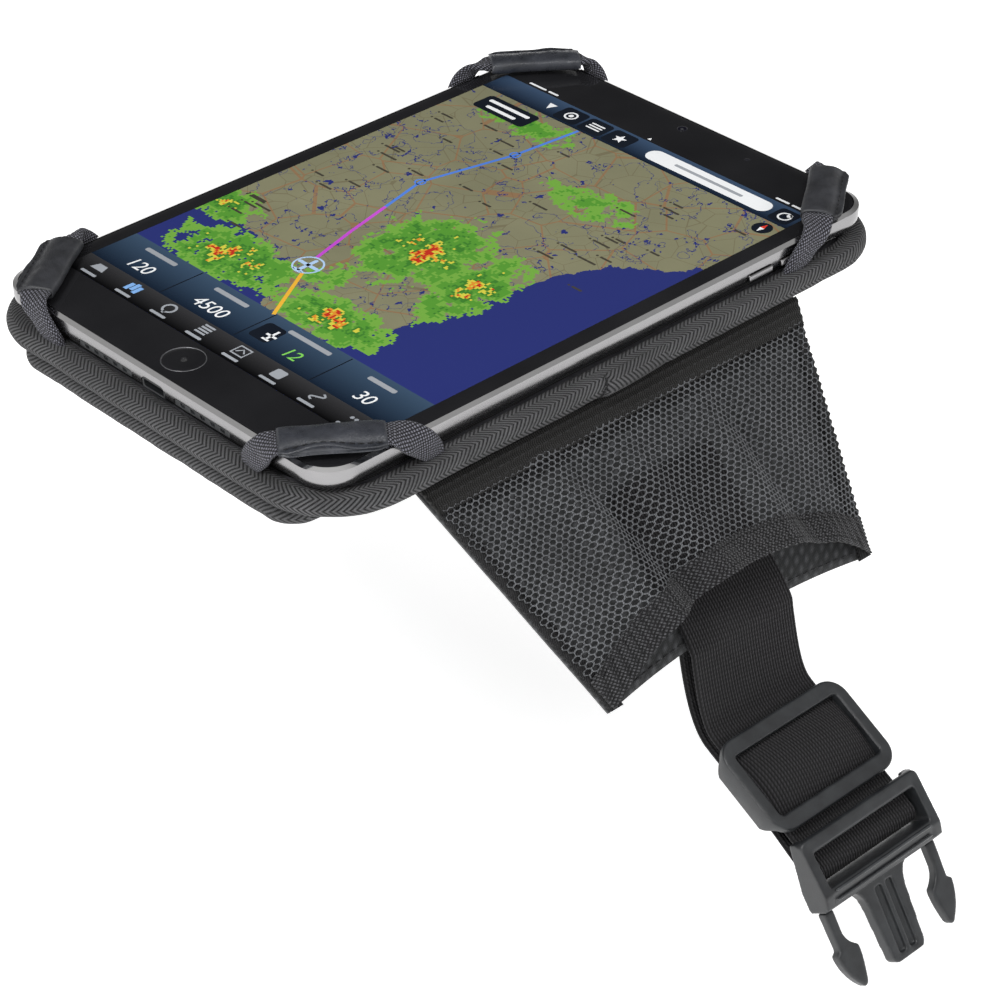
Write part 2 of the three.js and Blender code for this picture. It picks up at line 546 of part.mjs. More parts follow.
// ---------------------------------------------------------------- far side: webbing tab and socket half
// The tab hangs straight down from the base's far edge. In its frame -Y is down and +Z faces away from
// the leg.
const farSide = slopedGroup(STRAP_X, TAB.y, TAB.z, 90);
const tabMiddle = [[-1, -0.6], [-5, -2], [-9, -TAB.loopRadius]].map(([y, z]) => new THREE.Vector2(y, z));
for (let step = 0; step <= 10; step += 1) {
  const angle = 180 * DEG * step / 10;
  const y = -TAB.bend - TAB.loopRadius * Math.sin(angle);
  tabMiddle.push(new THREE.Vector2(y, -TAB.loopRadius * Math.cos(angle)));
}
tabMiddle.push(new THREE.Vector2(-10, 2.2), new THREE.Vector2(-6.5, 1.2));
add('far_webbing_tab', alongX(stripOutline(tabMiddle, WEB.thickness), -WEB.halfWidth, WEB.halfWidth),
  materials.webbing, farSide);

const CAVITY = { halfX: 20.6, halfZ: 3, endWall: 3, windowX: 18.6, windowStart: 6, windowEnd: 9 };
const onBothSides = (from, to, ...rest) => [box(-to, -from, ...rest), box(from, to, ...rest)];
const socketLength = SOCKET.end - SOCKET.start;
const socketBlank = softPlate(SOCKET.halfX, socketLength / 2, 5, -SOCKET.depth / 2, SOCKET.depth / 2, 1.6)
  .translate(0, -SOCKET.start - socketLength / 2, 0);
const socketCavity = box(-CAVITY.halfX, CAVITY.halfX, -SOCKET.end - 2, -SOCKET.start - CAVITY.endWall,
  -CAVITY.halfZ, CAVITY.halfZ);
const latchWindows = onBothSides(CAVITY.windowX, 30, -SOCKET.end + CAVITY.windowEnd,
  -SOCKET.start - CAVITY.windowStart, -CAVITY.halfZ, CAVITY.halfZ);
const socketArms = onBothSides(wallInner, SOCKET.halfX - 0.2, -SOCKET.start - 1, -TAB.bend + 1.6, -2, 2);
const socketBar = new THREE.CylinderGeometry(PLUG.bar, PLUG.bar, 2 * WEB.halfWidth + 2, 10)
  .rotateZ(90 * DEG).translate(0, -TAB.bend, 0);
const socketShell = cut(socketBlank, socketCavity, ...latchWindows);
add('buckle_socket_body', join(socketShell, ...socketArms, socketBar), materials.darkPlastic, farSide);

export default root;
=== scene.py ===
"""Looks of the tablet kneeboard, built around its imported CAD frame."""

import math

import bmesh
import bpy
import numpy as np
from mathutils import Matrix, Vector, noise


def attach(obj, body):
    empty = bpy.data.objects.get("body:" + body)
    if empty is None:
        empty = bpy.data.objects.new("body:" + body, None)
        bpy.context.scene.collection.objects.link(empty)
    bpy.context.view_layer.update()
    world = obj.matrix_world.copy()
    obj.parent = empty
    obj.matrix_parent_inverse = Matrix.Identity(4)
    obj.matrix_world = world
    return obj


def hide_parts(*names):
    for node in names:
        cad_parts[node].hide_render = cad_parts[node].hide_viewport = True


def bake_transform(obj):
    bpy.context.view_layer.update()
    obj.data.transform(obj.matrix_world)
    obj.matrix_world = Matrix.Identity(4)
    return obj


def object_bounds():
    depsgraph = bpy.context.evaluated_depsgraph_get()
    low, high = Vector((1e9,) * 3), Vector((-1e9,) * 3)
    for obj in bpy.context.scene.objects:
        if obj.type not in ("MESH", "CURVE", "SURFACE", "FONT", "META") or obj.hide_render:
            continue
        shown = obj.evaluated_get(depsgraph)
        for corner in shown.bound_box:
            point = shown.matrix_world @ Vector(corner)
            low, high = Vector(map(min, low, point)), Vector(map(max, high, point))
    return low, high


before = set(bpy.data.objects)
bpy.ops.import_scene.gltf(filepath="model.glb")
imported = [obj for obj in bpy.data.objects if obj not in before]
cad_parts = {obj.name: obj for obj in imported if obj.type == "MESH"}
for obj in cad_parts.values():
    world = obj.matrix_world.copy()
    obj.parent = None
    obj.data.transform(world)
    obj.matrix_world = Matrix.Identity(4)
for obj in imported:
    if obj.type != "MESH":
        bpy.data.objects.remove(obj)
CAD_LOW, CAD_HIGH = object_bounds()
MM = 0.001                      # lengths below are in millimetres
TAU = 2 * math.pi


def added(name, data):
    """A new object in the scene."""
    made = bpy.data.objects.new(name, data)
    bpy.context.scene.collection.objects.link(made)
    return made


# ---------------------------------------------------------------- camera and light
camera = added("camera", bpy.data.cameras.new("camera"))
camera.data.lens = 109.34
camera.data.sensor_width = 36
camera.data.clip_start, camera.data.clip_end = 0.01, 20
CAMERA_RIGHT = Vector((0.72995, -0.68344, -0.00938))
CAMERA_UP = Vector((0.39037, 0.40559, 0.82651))
CAMERA_BACK = Vector((-0.56106, -0.60697, 0.56285))
CAMERA_PLACE = Vector((-479.6, -540.1, 425.5)) * MM
turn = Matrix((CAMERA_RIGHT, CAMERA_UP, CAMERA_BACK)).transposed().to_4x4()
camera.matrix_world = Matrix.Translation(CAMERA_PLACE) @ turn
bpy.context.scene.camera = camera
bpy.context.scene.view_settings.view_transform = "Standard"


def area_light(name, place, target, size, power, size_y=None):
    """A square light in metres and watts, or an oblong one where size_y is given."""
    data = bpy.data.lights.new(name, "AREA")
    data.energy, data.size = power, size
    if size_y:
        data.shape, data.size_y = "RECTANGLE", size_y
    light = added(name, data)
    light.location = place
    light.rotation_mode = "QUATERNION"
    light.rotation_quaternion = (Vector(target) - Vector(place)).to_track_quat("-Z", "Y")
    return light


area_light("key", (-0.75, -0.15, 0.95), (0, -0.05, 0), 0.35, 6.5)
cloth_light = area_light("front", (0.2, -1.1, 0.42), (0, -0.1, -0.03), 0.8, 5, 0.12)
cloth_light.visible_glossy = False      # otherwise it whitens the screen seen from behind
area_light("side", (-1.1, -0.25, 0.2), (0, 0, 0), 0.4, 2, 0.1)
area_light("top", (0.1, -0.5, 1.3), (0, 0, 0), 0.5, 3)


def studio_sky(bright, dim, dim_from, dim_full):
    """A white sky, dimmed round the direction that a level glass mirrors into the camera. The two limits
    are cosines of the angle to that direction."""
    world = bpy.data.worlds.new("studio")
    bpy.context.scene.world = world
    world.use_nodes = True
    sky = world.node_tree
    toward = sky.nodes.new("ShaderNodeTexCoord")
    facing = sky.nodes.new("ShaderNodeVectorMath")
    facing.operation = "DOT_PRODUCT"
    facing.inputs[1].default_value = (-CAMERA_BACK.x, -CAMERA_BACK.y, CAMERA_BACK.z)
    dimmer = sky.nodes.new("ShaderNodeMapRange")
    dimmer.interpolation_type = "SMOOTHSTEP"
    for key, value in (("From Min", dim_from), ("From Max", dim_full), ("To Min", bright), ("To Max", dim)):
        dimmer.inputs[key].default_value = value
    background = sky.nodes["Background"]
    sky.links.new(toward.outputs["Generated"], facing.inputs[0])
    sky.links.new(facing.outputs["Value"], dimmer.inputs["Value"])
    sky.links.new(dimmer.outputs["Result"], background.inputs["Strength"])
    background.inputs["Color"].default_value = (1, 1, 1, 1)


studio_sky(bright=0.62, dim=0.03, dim_from=0.72, dim_full=0.95)

# ---------------------------------------------------------------- material building


class Paint:
    """One node material. Its methods return sockets, which may be mixed with plain numbers."""

    def __init__(self, name, **constants):
        self.material = bpy.data.materials.new(name)
        self.material.use_nodes = True
        self.tree = self.material.node_tree
        self.shader = self.tree.nodes["Principled BSDF"]
        for key, value in constants.items():
            self.shader.inputs[key.replace("_", " ")].default_value = value

    def put(self, socket, value):
        if isinstance(value, bpy.types.NodeSocket):
            self.tree.links.new(value, socket)
        else:
            socket.default_value = value

    def node(self, kind, **settings):
        made = self.tree.nodes.new(kind)
        for key, value in settings.items():
            setattr(made, key, value)
        return made

    def calc(self, operation, a, b=0.0, c=0.0):
        made = self.node("ShaderNodeMath", operation=operation)
        for socket, value in zip(made.inputs, (a, b, c)):
            self.put(socket, value)
        return made.outputs[0]

    def remap(self, value, low, high, out_low=0.0, out_high=1.0):
        made = self.node("ShaderNodeMapRange")
        for socket, v in zip(made.inputs, (value, low, high, out_low, out_high)):
            self.put(socket, v)
        return made.outputs[0]

    def mix(self, factor, a, b):
        made = self.node("ShaderNodeMix", data_type="RGBA")
        self.put(made.inputs[0], factor)
        self.put(made.inputs[6], colour(a))
        self.put(made.inputs[7], colour(b))
        return made.outputs[2]

    def place(self):
        """Object coordinates in millimetres."""
        sized = self.node("ShaderNodeVectorMath", operation="SCALE")
        self.put(sized.inputs[0], self.node("ShaderNodeTexCoord").outputs["Object"])
        sized.inputs["Scale"].default_value = 1 / MM
        return sized.outputs[0]

    def flat(self):
        """The two coordinates of the UV map, which holds millimetres."""
        return self.axes(self.node("ShaderNodeTexCoord").outputs["UV"])[:2]

    def axes(self, vector):
        made = self.node("ShaderNodeSeparateXYZ")
        self.put(made.inputs[0], vector)
        return made.outputs

    def shifted(self, vector, by):
        moved = self.node("ShaderNodeVectorMath", operation="ADD")
        self.put(moved.inputs[0], vector)
        moved.inputs[1].default_value = by
        return moved.outputs[0]

    def noise(self, vector, size, detail=3.0, roughness=0.5):
        made = self.node("ShaderNodeTexNoise")
        self.put(made.inputs["Vector"], vector)
        made.inputs["Scale"].default_value = 1 / size
        made.inputs["Detail"].default_value = detail
        made.inputs["Roughness"].default_value = roughness
        return made.outputs[0]

    def cells(self, vector, size):
        """Distance to the nearest border of irregular cells."""
        made = self.node("ShaderNodeTexVoronoi", feature="DISTANCE_TO_EDGE")
        self.put(made.inputs["Vector"], vector)
        made.inputs["Scale"].default_value = 1 / size
        return made.outputs["Distance"]

    def wave(self, value, pitch):
        """0 to 1 and back over each pitch of the value."""
        turned = self.calc("SINE", self.calc("MULTIPLY", value, TAU / pitch))
        return self.calc("MULTIPLY_ADD", turned, 0.5, 0.5)

    def bump(self, height, distance):
        made = self.node("ShaderNodeBump")
        made.inputs["Strength"].default_value = 1
        made.inputs["Distance"].default_value = distance * MM
        self.put(made.inputs["Height"], height)
        self.put(self.shader.inputs["Normal"], made.outputs[0])

    def give(self, **sockets):
        for key, value in sockets.items():
            self.put(self.shader.inputs[key.replace("_", " ")], value)
        return self.material


def colour(value):
    """A colour given as three display values from 0 to 255 becomes linear; sockets pass through."""
    if isinstance(value, bpy.types.NodeSocket):
        return value
    linear = [((c / 255 + 0.055) / 1.055) ** 2.4 if c > 10 else c / 255 / 12.92 for c in value]
    return (*linear, 1.0)


def woven(name, dark, light, pitch, lean, cross=None, depth=0.22, rough=0.9, sheen=0.06, patches=9,
          fold=0):
    """Twill or ribbed weave on a UV map in millimetres: ribs at a lean, crossed by finer yarns. With a
    fold the lean turns back every so many millimetres, as herringbone does."""
    p = Paint(name, Sheen_Weight=sheen, Sheen_Roughness=0.5, Specular_IOR_Level=0.25)
    u, v = p.flat()
    across = p.calc("PINGPONG", v, fold) if fold else v
    rib = p.wave(p.calc("MULTIPLY_ADD", across, lean, u), pitch)
    yarn = p.wave(p.calc("MULTIPLY_ADD", across, -2.3 * lean - 0.4, u), cross or pitch * 0.62)
    height = p.calc("MULTIPLY", rib, p.calc("MULTIPLY_ADD", yarn, 0.6, 0.4))
    wear = p.noise(p.place(), patches)
    fuzz = p.noise(p.place(), 0.35)
    # The weave's colour follows its height: light on the rib crests and dark in the grooves, a painted
    # highlight and shade. The wear patches and fuzz vary it at random.
    tone = p.calc("MULTIPLY", height, p.calc("MULTIPLY_ADD", wear, 0.9, 0.55))
    tone = p.calc("ADD", tone, p.calc("MULTIPLY_ADD", fuzz, 0.5, -0.25))
    p.bump(p.calc("MULTIPLY_ADD", fuzz, 0.25, height), depth)
    return p.give(Base_Color=p.mix(tone, dark, light),
                  Roughness=p.remap(wear, 0.3, 0.7, rough - 0.1, rough))


def ribbed(name, dark, light, pitch, depth=0.12):
    """Elastic webbing: lengthwise ribs of small slanted stitches. UV: u along it, v across."""
    p = Paint(name, Sheen_Weight=0.05, Specular_IOR_Level=0.25)
    u, v = p.flat()
    rib = p.wave(v, pitch)
    stitch = p.wave(p.calc("MULTIPLY_ADD", v, 1.2, u), 1.3)
    fuzz = p.noise(p.place(), 0.4)
    height = p.calc("MULTIPLY", rib, p.calc("MULTIPLY_ADD", stitch, 0.6, 0.4))
    # Colour follows the ribs' height: light on their crests and dark between them, as painted highlight and
    # shade, with random fuzz.
    tone = p.calc("ADD", height, p.calc("MULTIPLY_ADD", fuzz, 0.5, -0.25))
    p.bump(p.calc("MULTIPLY_ADD", fuzz, 0.2, height), depth)
    return p.give(Base_Color=p.mix(tone, dark, light), Roughness=p.remap(fuzz, 0.3, 0.7, 0.7, 0.9))


def knit(name, dark, light, size, depth=0.35):
    """Tubular elastic knit: a diagonal net of small raised loops."""
    p = Paint(name, Sheen_Weight=0.08, Specular_IOR_Level=0.3)
    u, v = p.flat()
    one = p.wave(p.calc("ADD", u, v), size)
    two = p.wave(p.calc("SUBTRACT", u, v), size)
    loops = p.calc("MULTIPLY", one, two)
    fuzz = p.noise(p.place(), 0.5)
    # Colour follows the loops: light where they rise and dark between them, as painted highlight and shade,
    # with random flecks from the fuzz.
    tone = p.calc("MULTIPLY", loops, p.calc("MULTIPLY_ADD", fuzz, 1.6, 0.1))
    p.bump(p.calc("MULTIPLY_ADD", fuzz, 0.3, loops), depth)
    return p.give(Base_Color=p.mix(tone, dark, light), Roughness=p.remap(fuzz, 0.3, 0.7, 0.75, 0.95))


def leather(name, dark, light, rough):
    """Creased leather with a fine cell-like grain."""
    p = Paint(name, Specular_IOR_Level=0.45, Coat_Weight=0.15, Coat_Roughness=0.35)
    where = p.place()
    grain = p.cells(where, 0.7)
    fold = p.noise(where, 5.5, 2)
    height = p.calc("MULTIPLY_ADD", p.remap(grain, 0.0, 0.25), 0.22, p.calc("MULTIPLY", fold, 1.5))
    p.bump(height, 0.12)
    rub = p.noise(where, 1.8, 2)
    # Colour follows the folds: lighter where they rise, a painted highlight on the creases.
    return p.give(Base_Color=p.mix(p.remap(fold, 0.35, 0.7), dark, light),
                  Roughness=p.remap(rub, 0.3, 0.7, rough - 0.1, rough + 0.12))


def moulded(name, dark, light, rough, depth=0.03):
    """Satin moulded plastic: fine spark-eroded texture, faint rubbed streaks."""
    p = Paint(name, Specular_IOR_Level=0.5)
    where = p.place()
    fine = p.noise(where, 0.22, 2)
    cloud = p.noise(where, 6, 3)
    streak = p.noise(where, 2.2, 2)
    p.bump(fine, depth)
    tone = p.remap(p.calc("MULTIPLY_ADD", streak, 0.4, p.calc("MULTIPLY", cloud, 0.6)), 0.35, 0.65)
    return p.give(Base_Color=p.mix(tone, dark, light),
                  Roughness=p.remap(cloud, 0.35, 0.65, rough - 0.05, rough + 0.08))


def metal(name, tint, rough, brushed=0.1):
    """Plain metal whose polish varies a little."""
    p = Paint(name, Metallic=1.0)
    where = p.place()
    cloud = p.noise(where, 14, 2)
    p.bump(p.noise(where, 3.0, 2), 0.004)
    darker = tuple(c * 0.93 for c in tint)
    return p.give(Base_Color=p.mix(cloud, darker, tint),
                  Roughness=p.remap(cloud, 0.3, 0.7, rough, rough + brushed))


def gloss(name, dark, light, rough=0.06):
    """Glass or screen surface seen as a glossy body colour, with faint finger marks in the gloss."""
    p = Paint(name, IOR=1.45, Specular_IOR_Level=0.4)
    where = p.place()
    smear = p.noise(where, 22, 4)
    return p.give(Base_Color=p.mix(p.remap(smear, 0.3, 0.7), dark, light),
                  Roughness=p.remap(smear, 0.35, 0.65, rough, rough + 0.05))


def coated_cloth(name, dark, light):
    """Nylon with a soft embossed honeycomb, as on the back of the pocket."""
    p = Paint(name, Specular_IOR_Level=0.35, Sheen_Weight=0.15)
    u, v = p.flat()
    comb = p.calc("MULTIPLY", p.wave(u, 3.2), p.wave(p.calc("MULTIPLY_ADD", u, 0.5, v), 2.6))
    fine = p.calc("MULTIPLY", p.wave(u, 0.6), p.wave(v, 0.6))
    crease = p.noise(p.place(), 10, 4)
    height = p.calc("MULTIPLY_ADD", fine, 0.25, p.calc("ADD", comb, p.calc("MULTIPLY", crease, 1.5)))
    p.bump(height, 0.2)
    # Colour follows the honeycomb and the creases: dark in their hollows, a painted shade.
    return p.give(Base_Color=p.mix(p.calc("MULTIPLY", comb, crease), dark, light),
                  Roughness=p.remap(crease, 0.3, 0.7, 0.55, 0.8))


# Finishes. The two colours of each are its dark and light tones, which on the cloths and leathers are painted
# shade in the hollows and painted highlight on the raised parts; pitches and depths are in millimetres.
M = {
    "twill": woven("twill_tape_weave", (9, 9, 10), (116, 116, 118), 1.45, 1.1, 0.95, depth=0.4, fold=3.2),
    "canvas": woven("canvas_weave", (14, 14, 15), (56, 56, 57), 0.7, 1.0, 0.7),
    "band": woven("pocket_band_weave", (9, 9, 9), (40, 39, 38), 0.7, 0.15, 0.5),
    "hem": knit("hem_knit", (12, 12, 13), (92, 92, 95), 1.2, 0.3),
    "webbing": ribbed("ribbed_webbing", (4, 4, 5), (48, 47, 49), 0.96, 0.2),
    "elastic": knit("elastic_knit", (8, 8, 11), (140, 140, 152), 1.1),
    "thread": woven("sewing_thread", (12, 12, 13), (50, 50, 52), 0.35, 0.6, depth=0.05, rough=0.7),
    "net": woven("net_strand", (46, 47, 49), (130, 132, 136), 0.45, 0.8, depth=0.05, rough=0.5,
                 patches=16, sheen=0.1),
    "felt": coated_cloth("pocket_back_cloth", (32, 33, 34), (80, 81, 84)),
    "leather": leather("leather_matt", (36, 37, 40), (52, 53, 57), 0.5),
    # A lighter, glossier copy of the same leather for the corners that catch the light: painted sheen.
    "leather_painted_sheen": leather("leather_glossier_painted_sheen", (42, 44, 49), (60, 62, 68), 0.3),
    "plastic": moulded("satin_plastic", (27, 28, 30), (38, 40, 42), 0.36),
    # For the plug's ridges: glossier and lighter than the body's own plastic, a painted glint.
    "ridge": moulded("glossy_plastic_painted_glint", (40, 42, 44), (52, 54, 56), 0.14, 0.004),
    "alloy": metal("satin_alloy", (150, 149, 150), 0.2, 0.05),
    # The chamfer is a much lighter copy of the rim's metal: a polished cut, lightened further as a painted
    # highlight line.
    "chamfer": metal("chamfer_painted_highlight", (226, 225, 225), 0.1, 0.03),
    "ring": metal("dark_ring", (150, 150, 154), 0.4, 0.05),
    "steel": metal("rivet_steel", (190, 192, 194), 0.28),
    "glass": gloss("black_glass", (26, 26, 28), (33, 33, 35)),
    "lens": gloss("camera_lens", (8, 8, 14), (18, 18, 30), 0.03),
    "foam": moulded("closed_cell_foam", (70, 70, 74), (92, 92, 97), 0.9, 0.12),
    "board": moulded("stiffener_board", (44, 46, 48), (62, 64, 66), 0.6),
    "battery": moulded("battery_wrap", (26, 26, 28), (36, 36, 38), 0.6),
    "circuit": moulded("circuit_board", (22, 68, 48), (34, 86, 62), 0.55),
    "panel": moulded("display_stack", (70, 82, 104), (84, 96, 118), 0.3),
}

# ---------------------------------------------------------------- mesh building


def smooth_noise(x, y, z=0.0, size=1.0):
    return noise.noise(Vector((x / size, y / size, z / size)))


def shade(made, smooth=True):
    made.data.polygons.foreach_set("use_smooth", [smooth] * len(made.data.polygons))


def build(name, points, faces, uvs=None, material=None, smooth=True):
    """A closed mesh object from points in millimetres; uvs are per face corner, in millimetres."""
    mesh = bpy.data.meshes.new(name)
    mesh.from_pydata((np.asarray(points, float) * MM).tolist(), [], faces)
    if uvs is not None:
        layer = mesh.uv_layers.new(name="UVMap")
        layer.data.foreach_set("uv", np.asarray(uvs, np.float32).ravel())
    if material:
        mesh.materials.append(material)
    b = bmesh.new()
    b.from_mesh(mesh)
    bmesh.ops.recalc_face_normals(b, faces=b.faces)
    b.to_mesh(mesh)
    b.free()
    made = added(name, mesh)
    shade(made, smooth)
    mesh.update()
    return made


def running(points, wrap=False):
    """Distance along a row of points, from 0; with wrap, the way back to the first point is added."""
    points = np.asarray(points, float)
    ahead = np.vstack([points, points[:1]]) if wrap else points
    return np.concatenate([[0], np.cumsum(np.linalg.norm(np.diff(ahead, axis=0), axis=1))])


def loft(name, rings, material, looped=False, u=None, v=None):
    """A closed skin through rings of equal point counts. UV: u along the rings, v round each ring."""
    rings = np.asarray(rings, float)
    rows, count, _ = rings.shape
    if u is None:
        u = running(rings.mean(axis=1), wrap=looped)
    if v is None:
        v = running(rings[rows // 2], wrap=True)
    faces, uvs = [], []
    for r in range(rows if looped else rows - 1):
        s = (r + 1) % rows
        for i in range(count):
            j = (i + 1) % count
            faces.append((r * count + i, r * count + j, s * count + j, s * count + i))
            uvs += [(u[r], v[i]), (u[r], v[i + 1]), (u[r + 1], v[i + 1]), (u[r + 1], v[i])]
    if not looped:
        for r in (0, rows - 1):
            faces.append(tuple(r * count + i for i in range(count)))
            uvs += [(u[r], v[i]) for i in range(count)]
    return build(name, rings.reshape(-1, 3), faces, uvs, material)


def sheet_solid(name, surface, columns, rows, thickness, material, to_world):
    """A closed sheet. surface(a, b) gives local (x, s, n) of its outer face; thickness lies below it."""
    grid = np.array([[surface(i / columns, j / rows) for i in range(columns + 1)] for j in range(rows + 1)])
    below = grid.copy()
    below[:, :, 2] -= thickness
    layers = [grid, below]
    points = [to_world(*p) for layer in layers for p in layer.reshape(-1, 3)]
    wide, size = columns + 1, (columns + 1) * (rows + 1)
    flat = grid.reshape(-1, 3)[:, :2]
    faces, uvs = [], []

    def face(*corners):
        faces.append(corners)
        uvs.extend(flat[c % size] for c in corners)
    for j in range(rows):
        for i in range(columns):
            a = j * wide + i
            face(a, a + 1, a + 1 + wide, a + wide)
            face(a + size, a + wide + size, a + 1 + wide + size, a + 1 + size)
    rim = [i for i in range(columns)] + [j * wide + columns for j in range(rows)]
    rim += [rows * wide + i for i in range(columns, 0, -1)] + [j * wide for j in range(rows, 0, -1)]
    for k, a in enumerate(rim):
        b = rim[(k + 1) % len(rim)]
        face(a, b, b + size, a + size)
    return build(name, points, faces, uvs, material)


def catmull(points, per_segment):
    """A smooth row of points through the given ones."""
    p = np.asarray(points, float)
    p = np.vstack([2 * p[0] - p[1], p, 2 * p[-1] - p[-2]])
    out = []
    for i in range(1, len(p) - 2):
        for k in range(per_segment):
            t = k / per_segment
            a, b, c, d = p[i - 1:i + 3]
            out.append(0.5 * (2 * b + (c - a) * t + (2 * a - 5 * b + 4 * c - d) * t * t
                              + (3 * b - a - 3 * c + d) * t ** 3))
    out.append(p[-2])
    return np.array(out)


def resample(points, step):
    """The same row of points at an even spacing."""
    far = running(points)
    count = max(2, int(round(far[-1] / step)) + 1)
    at = np.linspace(0, far[-1], count)
    return np.stack([np.interp(at, far, row) for row in np.transpose(points)], axis=1)


def outline(half_x, half_y, radius, step=1.0, arc=None, line=None):
    """Points and outward directions round a rounded rectangle, anticlockwise. With arc and line, the
    counts are fixed, so that two outlines match point for point."""
    per_arc = arc or max(6, int(radius * math.pi / 2 / step))
    points, normals = [], []
    corners = [(1, -1, 270), (1, 1, 0), (-1, 1, 90), (-1, -1, 180)]
    for k, (sx, sy, start) in enumerate(corners):
        centre = np.array([sx * (half_x - radius), sy * (half_y - radius)])
        for i in range(per_arc + 1):
            angle = math.radians(start + 90 * i / per_arc)
            out = np.array([math.cos(angle), math.sin(angle)])
            points.append(centre + radius * out)
            normals.append(out)
        nx, ny, nstart = corners[(k + 1) % 4]
        out = np.array([math.cos(math.radians(nstart)), math.sin(math.radians(nstart))])
        goal = np.array([nx * (half_x - radius), ny * (half_y - radius)]) + radius * out
        length = np.linalg.norm(goal - points[-1])
        between = line or max(2, int(length / step))
        first = points[-1]
        for i in range(1, between):
            points.append(first + (goal - first) * i / between)
            normals.append(out)
    return np.array(points), np.array(normals)


def stitches(name, path, outward, pitch, length, width, height):
    """A row of sewn stitches along a path: each a low rounded grain, lying on the outward side."""
    path = np.asarray(path, float)
    far = running(path)
    points, faces, uvs = [], [], []
    ring = 6
    for centre_at in np.arange(pitch / 2, far[-1] - length / 2, pitch):
        middle = np.array([np.interp(centre_at, far, path[:, k]) for k in range(3)])
        near = np.array([np.interp(centre_at + 0.5, far, path[:, k]) for k in range(3)])
        along = near - middle
        along /= np.linalg.norm(along) or 1
        up = np.asarray(outward(middle), float)
        up /= np.linalg.norm(up)
        across = np.cross(up, along)
        base = len(points)
        for t, fat in ((-0.5, 0.25), (-0.3, 0.85), (0.0, 1.0), (0.3, 0.85), (0.5, 0.25)):
            for k in range(ring):
                angle = TAU * k / ring
                points.append(middle + along * t * length + across * math.cos(angle) * fat * width / 2
                              + up * (math.sin(angle) * fat * height - 0.4 * abs(t) * height))
        for r in range(4):
            for k in range(ring):
                a, b = base + r * ring + k, base + r * ring + (k + 1) % ring
                faces.append((a, b, b + ring, a + ring))
                uvs += [(r, k), (r, k + 1), (r + 1, k + 1), (r + 1, k)]
        for r in (0, 4):
            faces.append(tuple(base + r * ring + k for k in range(ring)))
            uvs += [(r, k) for k in range(ring)]
    return build(name, points, faces, uvs, M["thread"])


def merged(made):
    """The object's mesh with its modifiers applied."""
    graph = bpy.context.evaluated_depsgraph_get()
    mesh = bpy.data.meshes.new_from_object(made.evaluated_get(graph), preserve_all_data_layers=True,
                                           depsgraph=graph)
    made.modifiers.clear()
    made.data = mesh
    return made


def joined(name, pieces):
    """One object from several, keeping their meshes as separate islands."""
    b = bmesh.new()
    materials = []
    for piece in pieces:
        start = len(b.faces)
        b.from_mesh(piece.data)
        b.faces.ensure_lookup_table()
        remap = []
        for m in piece.data.materials:
            if m not in materials:
                materials.append(m)
            remap.append(materials.index(m))
        for f in b.faces[start:]:
            f.material_index = remap[f.material_index]
    mesh = bpy.data.meshes.new(name)
    b.to_mesh(mesh)
    b.free()
    for m in materials:
        mesh.materials.append(m)
    for piece in pieces:
        bpy.data.objects.remove(piece)
    return added(name, mesh)


def softened(node, name, material, width, segments):
    """A detailed stand-in for a CAD node: its shape with true rounded edges and even shading."""
    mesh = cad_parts[node].data.copy()
    mesh.materials.clear()
    mesh.materials.append(material)
    b = bmesh.new()
    b.from_mesh(mesh)
    bmesh.ops.remove_doubles(b, verts=b.verts, dist=0.00001)
    bmesh.ops.dissolve_limit(b, angle_limit=math.radians(1.5), verts=b.verts, edges=b.edges)
    b.to_mesh(mesh)
    b.free()
    made = added(name, mesh)
    bevel = made.modifiers.new("edges", "BEVEL")
    bevel.width, bevel.segments = width * MM, segments
    bevel.limit_method, bevel.angle_limit = "ANGLE", math.radians(30)
    bevel.use_clamp_overlap = True
    merged(made)
    shade(made)
    weighted = made.modifiers.new("shading", "WEIGHTED_NORMAL")
    weighted.keep_sharp = True
    return merged(made)


def moulding(node, name, voxel, passes):
    """A moulded part: its CAD solids run together into one skin with rounded corners."""
    made = softened(node, name, M["plastic"], 0.5, 2)
    remesh = made.modifiers.new("skin", "REMESH")
    remesh.mode, remesh.voxel_size = "VOXEL", voxel * MM
    smooth = made.modifiers.new("round", "SMOOTH")
    smooth.factor, smooth.iterations = 0.5, passes
    merged(made)
    shade(made)
    return made


def settle(made, body, slot, *nodes):
    """Rides a body and stands for CAD nodes; slot is not used."""
    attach(made, body)
    if nodes:
        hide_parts(*nodes)
    return made


def lathe(name, profile, x, y, material, segments=72):
    """A turned piece about a vertical axis. profile lists (radius, z); it is closed by its own ends."""
    rings = []
    for k in range(segments):
        c, s = math.cos(TAU * k / segments), math.sin(TAU * k / segments)
        rings.append([(x + r * c, y + r * s, z) for r, z in profile])
    return loft(name, rings, material, looped=True)


# ---------------------------------------------------------------- the two padded boards
# Each pad: half sizes, corner radius, width of its tape, and bottom and top.
BASE = {"half": (104, 58), "corner": 10, "tape": 7, "z": (0.05, 6.02)}
BOARD = {"half": (105.5, 73.5), "corner": 24, "tape": 7.5, "z": (6.34, 12.2)}
# The pads' cloth simulation; the cap is the most that any point may move.
PUFF = {"voxel": 2.6, "pressure": 4.0, "cap": 1.2, "frames": 20}
ROLL = 2.8                      # how far in the tape's rounded edge reaches


